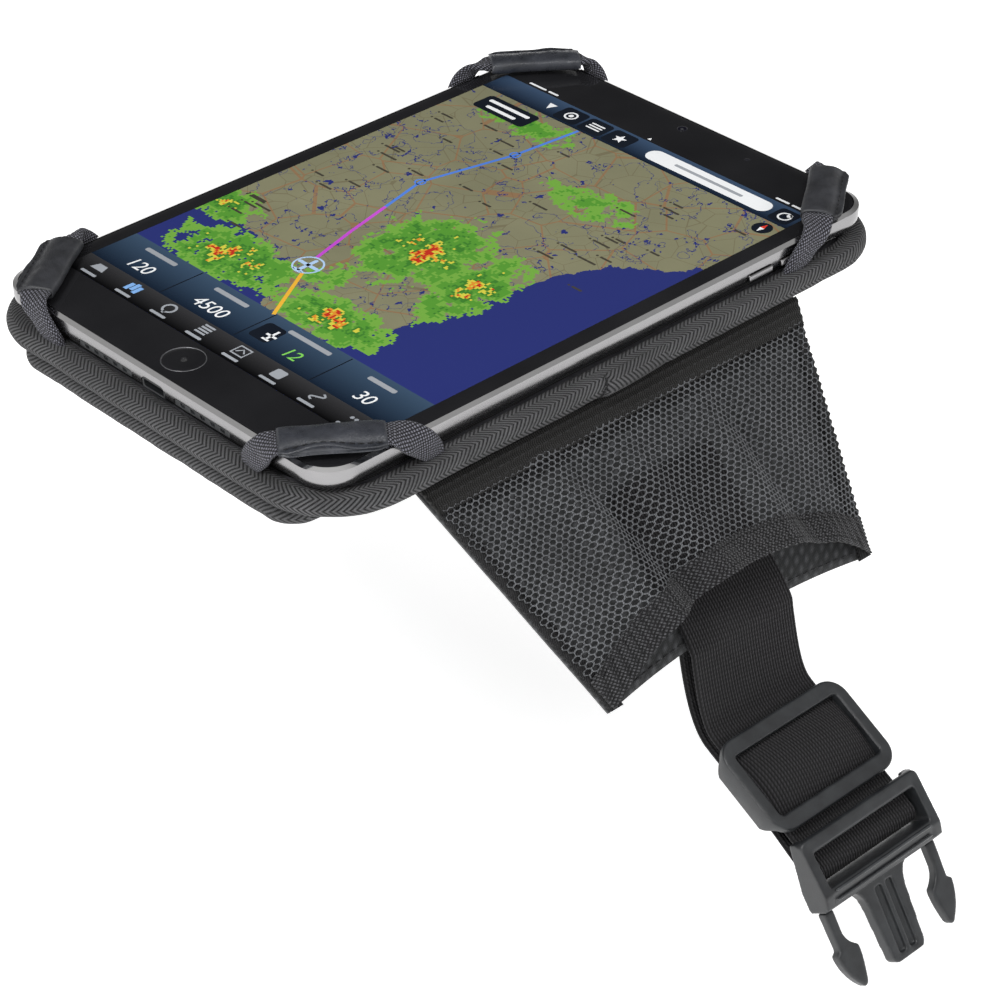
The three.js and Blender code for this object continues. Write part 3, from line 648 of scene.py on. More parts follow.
def bound_edge(name, pad, seed):
    """Twill tape folded round a pad's edge and sewn down, a little wavy as sewn tape is."""
    (half_x, half_y), corner, width, (z0, z1) = pad["half"], pad["corner"], pad["tape"], pad["z"]
    middle, half = (z0 + z1) / 2, (z1 - z0) / 2
    flap = [(width, 1.0), (width - 0.25, 0.4), (width - 0.9, 0.1), (width * 0.7, 0.02)]
    profile = [(d, z1 - down) for d, down in flap]
    profile += [(ROLL * (1 - math.cos(t)), middle + half * math.sin(t))
                for t in np.linspace(math.pi / 2, -math.pi / 2, 15)]
    profile += [(d, z0 + up) for d, up in flap[::-1]]
    points, normals = outline(half_x, half_y, corner, 0.9)
    rings = []
    for p, n in zip(points, normals):
        slack = 0.28 * smooth_noise(*p, seed, 13) + 0.12 * smooth_noise(*p, seed, 4)
        rings.append([(*(p - n * (d + (0.12 + slack) * (1 - d / width))),
                       z - 0.22 * slack * (z - middle)) for d, z in profile])
    return loft(name, rings, M["twill"], looped=True)


LAP_LEAN = 0.55                 # the lapped end is cut on a slant: x per z


def tape_lap(name, pad, x0, x1):
    """The tape's end, folded under and lapped over its start on the near side."""
    (_, half_y), (z0, z1) = pad["half"], pad["z"]
    middle, half = (z0 + z1) / 2, (z1 - z0) / 2
    rings = []
    for t in np.linspace(0, 1, 15):
        proud = 1.15 * min(1, 16 * t) * min(1, 1.6 * (1 - t)) + 0.02
        ring = []
        for lift in (proud, -0.4):
            row = []
            for a in np.linspace(math.pi / 2 * 0.98, -math.pi / 2 * 0.98, 13):
                d, z = ROLL * (1 - math.cos(a)), middle + (half - 0.02) * math.sin(a)
                x = x0 + (x1 - x0) * t + LAP_LEAN * (z - middle)
                row.append((x, -half_y + d - lift * math.cos(a) - 0.05, z + 0.1 * lift * math.sin(a)))
            ring += row if lift > 0 else row[::-1]
        rings.append(ring)
    return loft(name, rings, M["twill"])


def pad_core(name, pad, low, high, material):
    """The cloth face of a pad. Its closed form is blown up a little by a cloth simulation, then held to
    the room between what lies above and below it."""
    (half_x, half_y), corner, width = pad["half"], pad["corner"], pad["tape"]
    reach = width - 1.2
    points, normals = outline(half_x, half_y, corner, 4.0)
    middle = (low + high) / 2
    inset = [1.0, 0.86, 0.66, 0.44, 0.2, 0.02]
    edge = points - normals * reach
    profile = [(s, high - 0.35 * (s > 0.95)) for s in inset[::-1]] + [(1.0, middle)]
    profile += [(s, low + 0.35 * (s > 0.95)) for s in inset]
    made = loft(name, [[(*(p * s), z) for p in edge] for s, z in profile], material)
    remesh = made.modifiers.new("even", "REMESH")
    remesh.mode, remesh.voxel_size = "VOXEL", PUFF["voxel"] * MM
    merged(made)
    before = np.array([v.co for v in made.data.vertices])
    cloth = made.modifiers.new("puff", "CLOTH")
    cloth.settings.use_pressure = True
    cloth.settings.uniform_pressure_force = PUFF["pressure"]
    cloth.settings.quality = 4
    cloth.settings.effector_weights.gravity = 0
    cloth.point_cache.frame_start, cloth.point_cache.frame_end = 1, PUFF["frames"]
    for step in range(1, PUFF["frames"] + 1):
        bpy.context.scene.frame_set(step)
    merged(made)
    shift = np.array([v.co for v in made.data.vertices]) - before
    size = np.linalg.norm(shift, axis=1)[:, None]
    after = before + shift * np.minimum(1, PUFF["cap"] * MM / np.maximum(size, 1e-9))
    made.data.vertices.foreach_set("co", after.ravel())
    bpy.context.scene.frame_set(1)
    smooth = made.modifiers.new("smooth", "SMOOTH")
    smooth.factor, smooth.iterations = 0.5, 6
    divide = made.modifiers.new("divide", "SUBSURF")
    divide.levels = divide.render_levels = 1
    merged(made)
    co = np.array([v.co for v in made.data.vertices])
    limit = np.array([half_x - 2.5, half_y - 2.5]) * MM
    for c in co:
        wave = 0.12 * smooth_noise(c[0] / MM, c[1] / MM, middle, 17)
        wave += 0.05 * smooth_noise(c[0] / MM, c[1] / MM, 3, 5)
        c[2] = min(max(c[2], (low + 0.15 + wave) * MM), (high - 0.15 + wave) * MM)
        c[:2] = np.clip(c[:2], -limit, limit)
    made.data.vertices.foreach_set("co", co.ravel())
    shade(made)
    # A flat map in millimetres, as the cloth was cut.
    layer = made.data.uv_layers.new(name="UVMap")
    flat = np.array([co[loop.vertex_index, :2] / MM for loop in made.data.loops], np.float32)
    layer.data.foreach_set("uv", flat.ravel())
    return made


for name, pad, body, low, high, nodes in (
        ("base_pad", BASE, "base", 0.1, 5.9, ("base_grip_fabric", "base_face_fabric")),
        ("board_pad", BOARD, "top_board", 6.5, 11.9, ("board_underside_fabric", "board_face_fabric"))):
    made = settle(pad_core(name, pad, low, high, M["canvas"]), body, "canvas", *nodes)
settle(bound_edge("base_edge_tape", BASE, 3.0), "base", "twill_tape", "base_binding_tape")
settle(bound_edge("board_edge_tape", BOARD, 7.0), "top_board", "twill_tape", "board_binding_tape")
LAP_START = -10.4
settle(tape_lap("board_tape_lap", BOARD, LAP_START, 12), "top_board", "twill_tape")
middle, half = sum(BOARD["z"]) / 2, (BOARD["z"][1] - BOARD["z"][0]) / 2
tack = [(LAP_START - 0.5 + LAP_LEAN * half * math.sin(a), -BOARD["half"][1] + ROLL * (1 - math.cos(a)),
         middle + half * math.sin(a)) for a in np.linspace(1.5, -1.5, 24)]
settle(stitches("board_tape_tack", tack, lambda p: (0, -1, 0.4), 1.2, 1.1, 0.9, 0.3), "top_board",
       "twill_tape")
for name, pad, body, z, up in (("base_edge_stitches", BASE, "base", BASE["z"][0], -1),
                               ("base_top_stitches", BASE, "base", BASE["z"][1] - 0.2, 1),
                               ("board_underside_stitches", BOARD, "top_board", BOARD["z"][0] + 0.12, -1),
                               ("board_top_stitches", BOARD, "top_board", BOARD["z"][1] - 0.2, 1)):
    points, normals = outline(*pad["half"], pad["corner"], 1.0)
    path = [(*(p - n * (pad["tape"] - 1.1)), z) for p, n in zip(points, normals)]
    settle(stitches(name, path + path[:1], lambda p: (0, 0, up), 3.2, 2.3, 0.5, 0.16), body, "twill_tape")

# ---------------------------------------------------------------- tablet
TAB = {"half": (100, 67.35), "corner": 10.5, "bottom": 12.3, "top": 19.8}
SIDE_Z = 15.6                   # height of the keys, speakers and port
HOME_X = -89.7


def rim_loft(name, profile, material):
    """A piece with the tablet's outline; profile lists (inset, z) from one face's middle to the other."""
    points, normals = outline(*TAB["half"], TAB["corner"], 0.7)
    rings = [[(*(p - n * d), z) for p, n in zip(points, normals)] for d, z in profile]
    return loft(name, rings, material)


def drilled(made, cutters):
    """The piece less its cutters, with its true edges kept sharp."""
    for cutter in cutters:
        cut = made.modifiers.new("cut", "BOOLEAN")
        cut.operation, cut.solver, cut.object = "DIFFERENCE", "EXACT", cutter
    merged(made)
    for cutter in cutters:
        bpy.data.objects.remove(cutter)
    made.data.set_sharp_from_angle(angle=math.radians(32))
    return made


def slot_cutter(centre, size, radius, axis):
    """A rounded slot along an axis: x or y. centre and size are (x, y, z)."""
    wide = {"x": 1, "y": 0}[axis]
    points, _ = outline(size[wide] / 2, size[2] / 2, radius, arc=6, line=3)
    rings = []
    for end in (-0.5, 0.5):
        ring = []
        for a, b in points:
            p = list(centre)
            p[wide] += a
            p[2] += b
            p[1 - wide] += end * size[1 - wide]
            ring.append(p)
        rings.append(ring)
    return loft("cutter", rings, None)


bottom, top = TAB["bottom"], TAB["top"]
round_back = [(4.2 - 4.2 * math.sin(t), bottom + 4.6 - 4.6 * math.cos(t))
              for t in np.linspace(0, math.pi / 2, 13)]
side_wall = [(0, 17.2), (0, 18.9), (0.06, 19.25), (1.42, top), (1.5, 19.78), (1.5, 19.4), (1.5, 18.6),
             (1.5, 13.6), (9, 13.5)]
shell = rim_loft("tablet_shell", [(9, bottom), (5, bottom)] + round_back + side_wall, M["alloy"])
cutters = [slot_cutter((x, -67, SIDE_Z), (9.8, 6, 2.4), 1.15, "y") for x in (66, 53.5)]
cutters.append(slot_cutter((100, -42, SIDE_Z), (6, 9.8, 2.4), 1.15, "x"))
cutters.append(slot_cutter((-100, 0, SIDE_Z), (6, 9.8, 3.8), 1.85, "x"))
cutters += [slot_cutter((-100, y, SIDE_Z), (6, 22.6, 2.4), 1.15, "x") for y in (-20, 20)]
shell.data.materials.append(M["chamfer"])
drilled(shell, cutters)
for face in shell.data.polygons:      # the cut chamfer next to the glass, in a far lighter metal than the rim: a polished cut, lightened further as a painted highlight
    c = face.center / MM
    if c.z > 19.2 and face.normal.z > 0.3:
        face.material_index = 1
settle(shell, "top_board", "alloy", "tablet_rear_case")

face_edge = [(9, 18.8), (1.75, 18.8), (1.75, 19.6), (1.82, 19.74), (1.98, top), (9, top)]
glass = rim_loft("tablet_glass", face_edge, M["glass"])
hole = lathe("cutter", [(0.01, 17), (6.1, 17), (6.1, 22), (0.01, 22)], HOME_X, 0, None)
settle(drilled(glass, [hole]), "top_board", "black_glass", "tablet_front_glass")
home_ring = [(5.72, 18.9), (6.04, 18.9), (6.04, 19.76), (6.0, 19.82), (5.78, 19.82), (5.72, 19.74)]
settle(lathe("home_ring", home_ring, HOME_X, 0, M["ring"]), "top_board", "alloy", "tablet_home_ring")
home_key = [(0.01, 18.85), (5.6, 18.85), (5.66, 19.0), (5.66, 19.72), (5.56, 19.78), (3.5, 19.76),
            (1.6, 19.745), (0.01, 19.74)]
settle(lathe("home_key", home_key, HOME_X, 0, M["glass"]), "home_button", "black_glass", "tablet_home_button")
for node, body, name in (("tablet_power_button", "power_button", "power_key"),
                         ("tablet_volume_up", "volume_up", "volume_up_key"),
                         ("tablet_volume_down", "volume_down", "volume_down_key")):
    settle(softened(node, name, M["alloy"], 0.35, 3), body, "alloy", node)
settle(softened("tablet_charging_port", "charging_socket", M["plastic"], 0.2, 2), "top_board", "dark_plastic",
       "tablet_charging_port")
for side in ("near", "far"):
    settle(softened(f"tablet_speaker_{side}", f"speaker_grille_{side}", M["plastic"], 0.15, 2), "top_board",
           "dark_plastic", f"tablet_speaker_{side}")
lens = [(0.01, 19.7), (1.5, 19.7), (1.55, 19.82), (1.2, 19.86), (0.9, 19.83), (0.01, 19.84)]
settle(lathe("selfie_lens", lens, 93, 0, M["lens"], 32), "top_board", "lens")
sensor = [(0.01, 19.7), (0.7, 19.7), (0.72, 19.82), (0.4, 19.83), (0.01, 19.82)]
settle(lathe("light_sensor", sensor, 92.5, -26, M["lens"], 24), "top_board", "lens")

# ---------------------------------------------------------------- moving map on the screen
SCREEN = {"bottom": -82.2, "top": 83.4, "side": 60.6, "z": 19.83}
DISPLAY = {"IOR": 1.45, "Specular_IOR_Level": 0.4, "Roughness": 0.12}
# The shore, as (across the screen, along it), and the rain: middle, half sizes and weight.
BAYS = ((-61, 36), (-46, 24), (-37, 10), (-31, -24), (-24, -46), (-13, -60), (0, -66), (9, -54), (18, -42),
        (32, -38), (46, -33), (61, -26))
RAIN = ((-8, -2, 20, 19, 1.0), (-14, -26, 21, 10, 0.95), (-48, 32, 12, 24, 1.0), (-50, -12, 9, 20, 1.05),
        (62, 32, 9, 22, 0.62), (42, -14, 10, 22, 0.6), (-30, 56, 9, 13, 0.9), (-36, 6, 12, 10, 0.55))
RAIN_BLOCK, RAIN_FROM = 0.72, 0.27
RAIN_COLOURS = ((0.0, (112, 164, 66)), (0.4, (84, 146, 52)), (0.58, (62, 122, 46)), (0.7, (206, 198, 70)),
                (0.8, (214, 140, 48)), (0.88, (186, 48, 34)))


def map_paint():
    """An invented coast: land with roads and lakes, sea, and blocky rain areas."""
    p = Paint("moving_map", **DISPLAY)
    where = p.place()
    x, y, _ = p.axes(where)
    ragged = p.calc("MULTIPLY_ADD", p.noise(where, 9, 6, 0.6), 26, -13)
    shore = p.node("ShaderNodeFloatCurve")
    curve = shore.mapping.curves[0]
    while len(curve.points) < len(BAYS):
        curve.points.new(0.5, 0.5)
    for point, (across, along) in zip(curve.points, BAYS):
        point.location = ((across + 61) / 122, (along + 70) / 140)
        point.handle_type = "AUTO"
    shore.mapping.update()
    p.put(shore.inputs["Value"], p.calc("DIVIDE", p.calc("ADD", y, 61), 122))
    coast = p.calc("MULTIPLY_ADD", shore.outputs[0], 140, -70)
    inland = p.calc("SUBTRACT", p.calc("ADD", x, ragged), coast)
    land = p.calc("GREATER_THAN", inland, 0)
    lakes = p.calc("GREATER_THAN", p.noise(where, 3.6, 3, 0.6), 0.665)
    river = p.calc("ABSOLUTE", p.calc("SUBTRACT", p.noise(where, 15, 4, 0.55), 0.5))
    river = p.calc("LESS_THAN", river, 0.0035)
    dry = p.calc("MULTIPLY", land, p.calc("SUBTRACT", 1, p.calc("MAXIMUM", lakes, river)))
    relief = p.noise(where, 24, 5)
    earth = p.mix(relief, (114, 113, 90), (138, 136, 108))
    road = p.calc("LESS_THAN", p.cells(p.shifted(where, (31, 17, 0)), 17), 0.014)
    lane = p.calc("LESS_THAN", p.cells(where, 9), 0.011)
    earth = p.mix(p.calc("MULTIPLY", lane, 0.45), earth, (96, 84, 62))
    earth = p.mix(p.calc("MULTIPLY", road, 0.5), earth, (150, 96, 60))
    picture = p.mix(dry, (42, 50, 112), earth)
    block = p.node("ShaderNodeVectorMath", operation="SNAP")
    p.put(block.inputs[0], where)
    block.inputs[1].default_value = (RAIN_BLOCK,) * 3
    bx, by, _ = p.axes(block.outputs[0])
    rain = 0.0
    for cx, cy, rx, ry, weight in RAIN:
        far = [p.calc("POWER", p.calc("ABSOLUTE", p.calc("DIVIDE", p.calc("SUBTRACT", at, c), r)), 2)
               for at, c, r in ((bx, cx, rx), (by, cy, ry))]
        falling = p.calc("EXPONENT", p.calc("MULTIPLY", p.calc("ADD", *far), -1))
        rain = p.calc("MAXIMUM", rain, p.calc("MULTIPLY", falling, weight))
    patchy = p.calc("MULTIPLY_ADD", p.noise(block.outputs[0], 6.5, 6, 0.72), 2.9, -0.76)
    storm = p.calc("MULTIPLY", rain, patchy)
    bands = p.node("ShaderNodeValToRGB")
    bands.color_ramp.interpolation = "CONSTANT"
    for k, (at, tint) in enumerate(RAIN_COLOURS):
        stop = bands.color_ramp.elements[k] if k < 2 else bands.color_ramp.elements.new(at)
        stop.position, stop.color = at, colour(tint)
    p.put(bands.inputs[0], storm)
    picture = p.mix(p.calc("GREATER_THAN", storm, RAIN_FROM), picture, bands.outputs[0])
    return p.give(Base_Color=picture)


def lit(name, low, high):
    """A lit screen colour with a soft change of tone."""
    p = Paint(name, **DISPLAY)
    return p.give(Base_Color=p.mix(p.noise(p.place(), 30, 2), low, high))


def bar_paint(name, low, high, from_x, to_x):
    """A toolbar colour that changes across the bar, as interface bars do."""
    p = Paint(name, **DISPLAY)
    x, _, _ = p.axes(p.place())
    return p.give(Base_Color=p.mix(p.remap(x, from_x, to_x), low, high))


def on_screen(a, b, z):
    """Screen right and screen up, from the screen's middle, in the row frame."""
    return (b, -a, z)


def decal(name, shapes, material, level=1):
    """Flat shapes on the screen, each a thin solid. shapes are lists of (right, up) points."""
    z0, z1 = SCREEN["z"] - 0.02, SCREEN["z"] + 0.012 * level
    points, faces = [], []
    for shape in shapes:
        base, n = len(points), len(shape)
        points += [on_screen(a, b, z0) for a, b in shape] + [on_screen(a, b, z1) for a, b in shape]
        faces.append(tuple(range(base, base + n)))
        faces.append(tuple(range(base + n, base + 2 * n)))
        faces += [(base + i, base + (i + 1) % n, base + n + (i + 1) % n, base + n + i) for i in range(n)]
    return settle(build(name, points, faces, None, material, smooth=False), "top_board", "display")


def rect(a0, a1, b0, b1, radius=0.0):
    """A rectangle, with rounded corners where a radius is given."""
    if not radius:
        return [(a0, b0), (a1, b0), (a1, b1), (a0, b1)]
    points, _ = outline((a1 - a0) / 2, (b1 - b0) / 2, min(radius, (b1 - b0) / 2 - 0.01), arc=5, line=1)
    return [(x + (a0 + a1) / 2, y + (b0 + b1) / 2) for x, y in points]


def dot(a, b, radius, count=20):
    turns = [TAU * k / count for k in range(count)]
    return [(a + radius * math.cos(t), b + radius * math.sin(t)) for t in turns]


def stroke(points, width, closed=False):
    """A line of even width as one quad for each of its pieces."""
    p = np.asarray(points, float)
    n = len(p)
    sides = []
    for i in range(n):
        before = p[(i - 1) % n] if closed or i else p[i]
        after = p[(i + 1) % n] if closed or i < n - 1 else p[i]
        t = (after - before) / np.linalg.norm(after - before)
        sides.append(np.array([-t[1], t[0]]) * width / 2)
    pairs = [(i, (i + 1) % n) for i in range(n if closed else n - 1)]
    return [[tuple(p[i] + sides[i]), tuple(p[i] - sides[i]), tuple(p[j] - sides[j]), tuple(p[j] + sides[j])]
            for i, j in pairs]


def ring(a, b, radius, width, count=22):
    """A round line, as quads."""
    return stroke(dot(a, b, radius, count), width, closed=True)


side = SCREEN["side"]
picture = [[on_screen(a, b, z) for a, b in rect(-side, side, SCREEN["bottom"], SCREEN["top"], 0.6)]
           for z in (SCREEN["z"] - 0.06, SCREEN["z"])]
screen_map = loft("screen_map", picture, map_paint())
shade(screen_map, False)
settle(screen_map, "top_board", "display")

# Bars across the screen, from the bottom: tabs, data, then the map, toolbar and status bar.
DATA_FROM, DATA_TO, TOOLS_FROM, TOOLS_TO = -73.6, -58.2, 70.6, 80.4
WHITE = lit("screen_white", (228, 230, 232), (244, 245, 246))
SOFT = lit("screen_grey", (140, 144, 150), (168, 172, 178))
decal("screen_status_bar", [rect(-side, side, TOOLS_TO, SCREEN["top"])], M["glass"], 1)
decal("screen_tab_bar", [rect(-side, side, SCREEN["bottom"], DATA_FROM)],
      bar_paint("tab_bar_black", (4, 4, 5), (52, 52, 54), -82, DATA_FROM), 1)
decal("screen_toolbar", [rect(-side, side, TOOLS_FROM, TOOLS_TO)],
      bar_paint("toolbar_blue", (16, 26, 42), (58, 78, 104), TOOLS_FROM, TOOLS_TO), 1)
decal("screen_data_bar", [rect(-side, side, DATA_FROM, DATA_TO)],
      bar_paint("data_bar_blue", (18, 30, 46), (58, 78, 100), DATA_FROM, DATA_TO), 1)
dark = [rect(a - 0.2, a + 0.2, DATA_FROM + 0.6, DATA_TO - 0.4) for a in (-31, -0.5, 30)]
dark += [rect(-54, -33, 59.8, 68.2, 1.6), rect(1.2, 8.6, -70, -62, 1.4), dot(56, 66.4, 3.0, 28)]
dark += [rect(a - 4.6, a + 4.6, 71.6, 79.4, 1.4) for a in (-28, -18, -8)]
dark += [rect(52.2, 59.4, 71.8, 79.2, 1.4)]
decal("screen_dark_panels", dark, lit("screen_dark", (12, 17, 26), (26, 32, 42)), 2)
decal("screen_search_field", [rect(3.4, 50.4, 72.6, 78.6, 2.9)], WHITE, 2)

icons = [rect(5, 8.8, -66.8, -66.0), rect(6.5, 7.3, -68.4, -63.6), rect(5.6, 8.2, -68.9, -68.2)]
icons += [s for a in (-28, 56) for s in ring(a, 75.5, 1.9, 0.6)] + [dot(-28, 75.5, 0.8), dot(56.9, 76.6, 0.9)]
icons += [rect(-20.6, -15.4, 74 + k * 1.3, 74.6 + k * 1.3) for k in range(3)]
star = [(TAU * k / 10, 1.0 if k % 2 else 2.3) for k in range(10)]
icons += [[(-8 + r * math.sin(t), 75.5 + r * math.cos(t)) for t, r in star]]
icons += [[(-38.2, 77), (-35.2, 77), (-36.7, 73.8)], [(-1.9, 82.4), (-1.2, 81.2), (-2.6, 81.2)]]
icons += stroke([(5.6 + math.cos(t), 75.9 + math.sin(t)) for t in np.linspace(0, TAU, 14)], 0.35)
icons += [rect(a, a + w, 81.4, 82.2, 0.3) for a, w in ((-52, 7), (-44, 4), (47, 5), (53, 3.4))]
icons += [rect(-52, -35.5, 64.9, 66.3, 0.5), rect(-50, -38, 61.6, 63.0, 0.5)]
decal("screen_white_icons", icons, WHITE, 3)
labels = [rect(a - w, a + w, -62.2, -60.6, 0.6)
          for a, w in ((-45.6, 6.5), (-15.6, 6.8), (16.4, 8.2), (44.6, 5.2))]
labels += [rect(14, 40, 75.0, 76.2, 0.5)]
tab_at = [-52.5 + 15 * k for k in range(8)]
labels += [rect(a - 3.1, a + 3.1, -81.2, -80.2, 0.4) for a in tab_at]
peak, chosen, pin, rows, photo, page, track, more = tab_at
labels += [[(peak - 2.6, -78.2), (peak + 2.6, -78.2), (peak + 1.6, -75.4), (peak - 1.6, -75.4)]]
labels += ring(pin, -76.7, 1.9, 0.7) + [rect(pin - 0.4, pin + 0.4, -79.4, -78.2)]
labels += [rect(rows - 2, rows + 2, -78.9 + 1.2 * k, -78.2 + 1.2 * k) for k in range(4)]
labels += stroke(rect(photo - 2.2, photo + 2.2, -78.7, -74.9), 0.6, True)
labels += stroke([(photo - 1.4, -77.6), (photo, -75.9), (photo + 1.4, -77.2)], 0.5)
labels += [rect(page - 2, page + 2, -78.8, -75, 0.7)]
labels += stroke([(track + 1.8 * math.sin(t * 1.6), -76.8 + 1.05 * t) for t in np.linspace(-1.8, 1.8, 13)], 0.6)
labels += [dot(more + d, -76.8, 0.6) for d in (-1.6, 0, 1.6)]
decal("screen_grey_labels", labels, SOFT, 3)
map_icon = [rect(chosen + 1.7 * k - 2.4, chosen + 1.7 * k - 1, -78.8 + 0.7 * (k % 2), -75.4 + 0.7 * (k % 2))
            for k in range(3)]
decal("screen_tab_chosen", map_icon, lit("screen_blue_icon", (96, 150, 214), (150, 190, 236)), 3)


def numerals(text, a, b, height):
    """Plain slanted figures, as a mesh that lies on the screen."""
    data = bpy.data.curves.new("numerals", "FONT")
    data.body, data.size, data.align_x = text, height * MM * 1.42, "CENTER"
    data.extrude, data.shear = 0.01 * MM, 0.12
    made = added("numerals", data)
    made.location = Vector(on_screen(a, b, SCREEN["z"] + 0.03)) * MM
    made.rotation_euler = (0, 0, -math.pi / 2)
    bpy.context.view_layer.update()
    mesh = bpy.data.meshes.new_from_object(made)
    mesh.transform(made.matrix_world)
    bpy.data.objects.remove(made)
    mesh.materials.clear()
    mesh.materials.append(WHITE)
    return added("numerals", mesh)


values = [numerals(t, a, -70.6, 4.4) for t, a in (("120", -45.6), ("4500", -15.6), ("30", 46))]
settle(joined("screen_numerals", values), "top_board", "display")
green = numerals("12", 17.5, -70.4, 4.2)
green.name = "screen_green_numeral"
green.data.materials[0] = lit("screen_green", (110, 190, 80), (140, 216, 96))
settle(green, "top_board", "display")

course = [(-19.8, 70.4), (-21.8, 47.2), (-28.6, 17.0), (-24.6, 0.5)]
decal("route_flown", stroke(course, 1.0) + [s for a, b in course[1:3] for s in ring(a, b, 1.5, 0.5)],
      lit("route_blue", (64, 110, 206), (92, 140, 226)), 2)
decal("route_active", stroke([course[-1], (-20.6, -15.9), (-16.2, -31.5)], 1.1),
      lit("route_magenta", (176, 62, 190), (206, 90, 214)), 2)
decal("route_ahead", stroke([(-12.6, -39.6), (-1.2, -59.0)], 1.1),
      lit("route_orange", (222, 160, 40), (238, 190, 70)), 2)
craft = ring(-14.7, -35.8, 4.3, 0.55, 30) + [rect(-18.6, -10.8, -36.4, -35.2, 0.4)]
craft += [rect(-15.3, -14.1, -39.6, -32.4, 0.5), rect(-16.6, -12.8, -39.8, -38.9, 0.3)]
decal("own_position", craft, lit("screen_pale_blue", (150, 186, 226), (196, 216, 240)), 3)
decal("compass_needle", [[(56, 68.8), (55.2, 66.4), (56.8, 66.4)]],
      lit("screen_red", (206, 40, 34), (226, 70, 52)), 3)
decal("compass_tail", [[(56, 64.0), (55.2, 66.4), (56.8, 66.4)]], WHITE, 3)
places = np.random.default_rng(11)
names = []
for _ in range(64):
    a, b, w = places.uniform(-56, 56), places.uniform(-38, 66), places.uniform(1.6, 3.4)
    if b > 30 - 0.9 * max(0, a + 30) * 0.55 or a < -32:      # on land
        names += [rect(a - w, a + w, b, b + 0.8, 0.3), dot(a - w - 1.1, b + 0.4, 0.42, 8)]
decal("map_place_marks", names, lit("map_ink", (52, 50, 44), (74, 70, 60)), 1)

# ---------------------------------------------------------------- elastic corner loops and leather sleeves
# One corner's route: each centre with the direction that faces away from the tablet.
LOOP = [((100.4, 39.6, 10.2), (1, 0, 0)), ((101.2, 40.8, 13.2), (1, 0, 0)),
        ((101.9, 42.9, 15.8), (1, 0, 0)), ((102.0, 45.3, 18.4), (1, 0, 0)),
        ((101.7, 47.4, 20.8), (0.85, 0, 0.5)), ((100.0, 49.4, 22.2), (0.3, 0, 0.95)),
        ((97.6, 51.2, 22.5), (0, 0, 1)), ((88.1, 58.2, 22.5), (0, 0, 1)), ((78.6, 65.2, 22.5), (0, 0, 1)),
        ((76.2, 67.0, 22.2), (0, 0.3, 0.95)), ((73.6, 68.8, 20.8), (0, 0.85, 0.5)),
        ((70.6, 69.3, 18.4), (0, 1, 0)), ((68.0, 69.2, 15.8), (0, 1, 0)),
        ((66.0, 68.6, 13.2), (0, 1, 0)), ((64.8, 67.8, 10.2), (0, 1, 0))]
SLEEVE_ENDS = (np.array([100.2, 49.3, 22.3]), np.array([77.8, 65.8, 22.5]))


def along_route(centres, outs, section):
    """Rings for a flat band: section(k, share) gives (across, out) points at each centre."""
    rings = []
    for k, (c, out) in enumerate(zip(centres, outs)):
        ahead = centres[min(k + 1, len(centres) - 1)] - centres[max(k - 1, 0)]
        tangent = ahead / np.linalg.norm(ahead)
        across = np.cross(tangent, out)
        across /= np.linalg.norm(across)
        normal = np.cross(across, tangent)
        rings.append([c + a * across + n * normal for a, n in section(k, k / (len(centres) - 1))])
    return rings


def elastic_section(share, seed):
    """Cross-section of a flat tubular knit: rounded edges and four soft lengthwise rolls."""
    leg = min(1, min(share, 1 - share) / 0.2)
    wide = 6.2 + 1.9 * leg * leg * (3 - 2 * leg) + 0.4 * math.sin(TAU * (1.5 * share + seed))
    points = []
    for t in np.linspace(0, TAU, 44, endpoint=False):
        a, n = wide / 2 * math.cos(t), 1.15 * math.sin(t)
        n = math.copysign(abs(n / 1.15) ** 0.55 * 1.15, n)
        roll = 0.17 * math.cos(TAU * a / 2.3) * min(1, abs(math.sin(t)) * 1.6)
        points.append((a, n + math.copysign(roll, n)))
    return points


def sleeve_profile(seed, share, gap):
    """Outside of a folded leather sleeve: a flat tube and two leaves sewn together along one edge."""
    fold = [(-4.9, 0.0), (-4.6, 1.25), (-3.4, 1.95), (-1.2, 2.2), (1.2, 2.1), (3.0, 1.6), (4.1, 1.05),
            (5.2, 0.8 + gap), (6.2, 0.7 + gap), (6.35, 0.42 + gap), (5.8, 0.12 + gap * 0.6), (5.8, -0.12),
            (6.3, -0.45), (6.1, -0.7), (5.2, -0.65), (4.1, -0.8), (3.0, -1.2), (1.2, -1.6), (-1.2, -1.75),
            (-3.4, -1.6), (-4.6, -1.05)]
    out = []
    for a, n in catmull(fold + fold[:1], 3)[:-1]:
        crease = 0.26 * smooth_noise(a * 1.2, share * 24, seed, 4.6)
        crease += 0.03 * smooth_noise(a, share * 24, seed + 9, 1.6)
        end = math.exp(-(share / 0.06) ** 2) + math.exp(-((1 - share) / 0.06) ** 2)
        a -= 1.1 * end * max(0.0, min(1.0, (a - 4.0) / 2))
        out.append((a * (1 + 0.02 * math.sin(9 * share + seed)) + crease * 0.4,
                    n * (1 - 0.1 * end) + crease * (1 if n > 0 else 0.4)))
    return out


def leaf_gap(leaf, share):
    """How far the sleeve's two leaves stand apart along it."""
    return leaf * math.sin(math.pi * min(1, share * 1.25)) ** 2


SEAM = 4.95                     # the sleeve's stitches, across from its middle
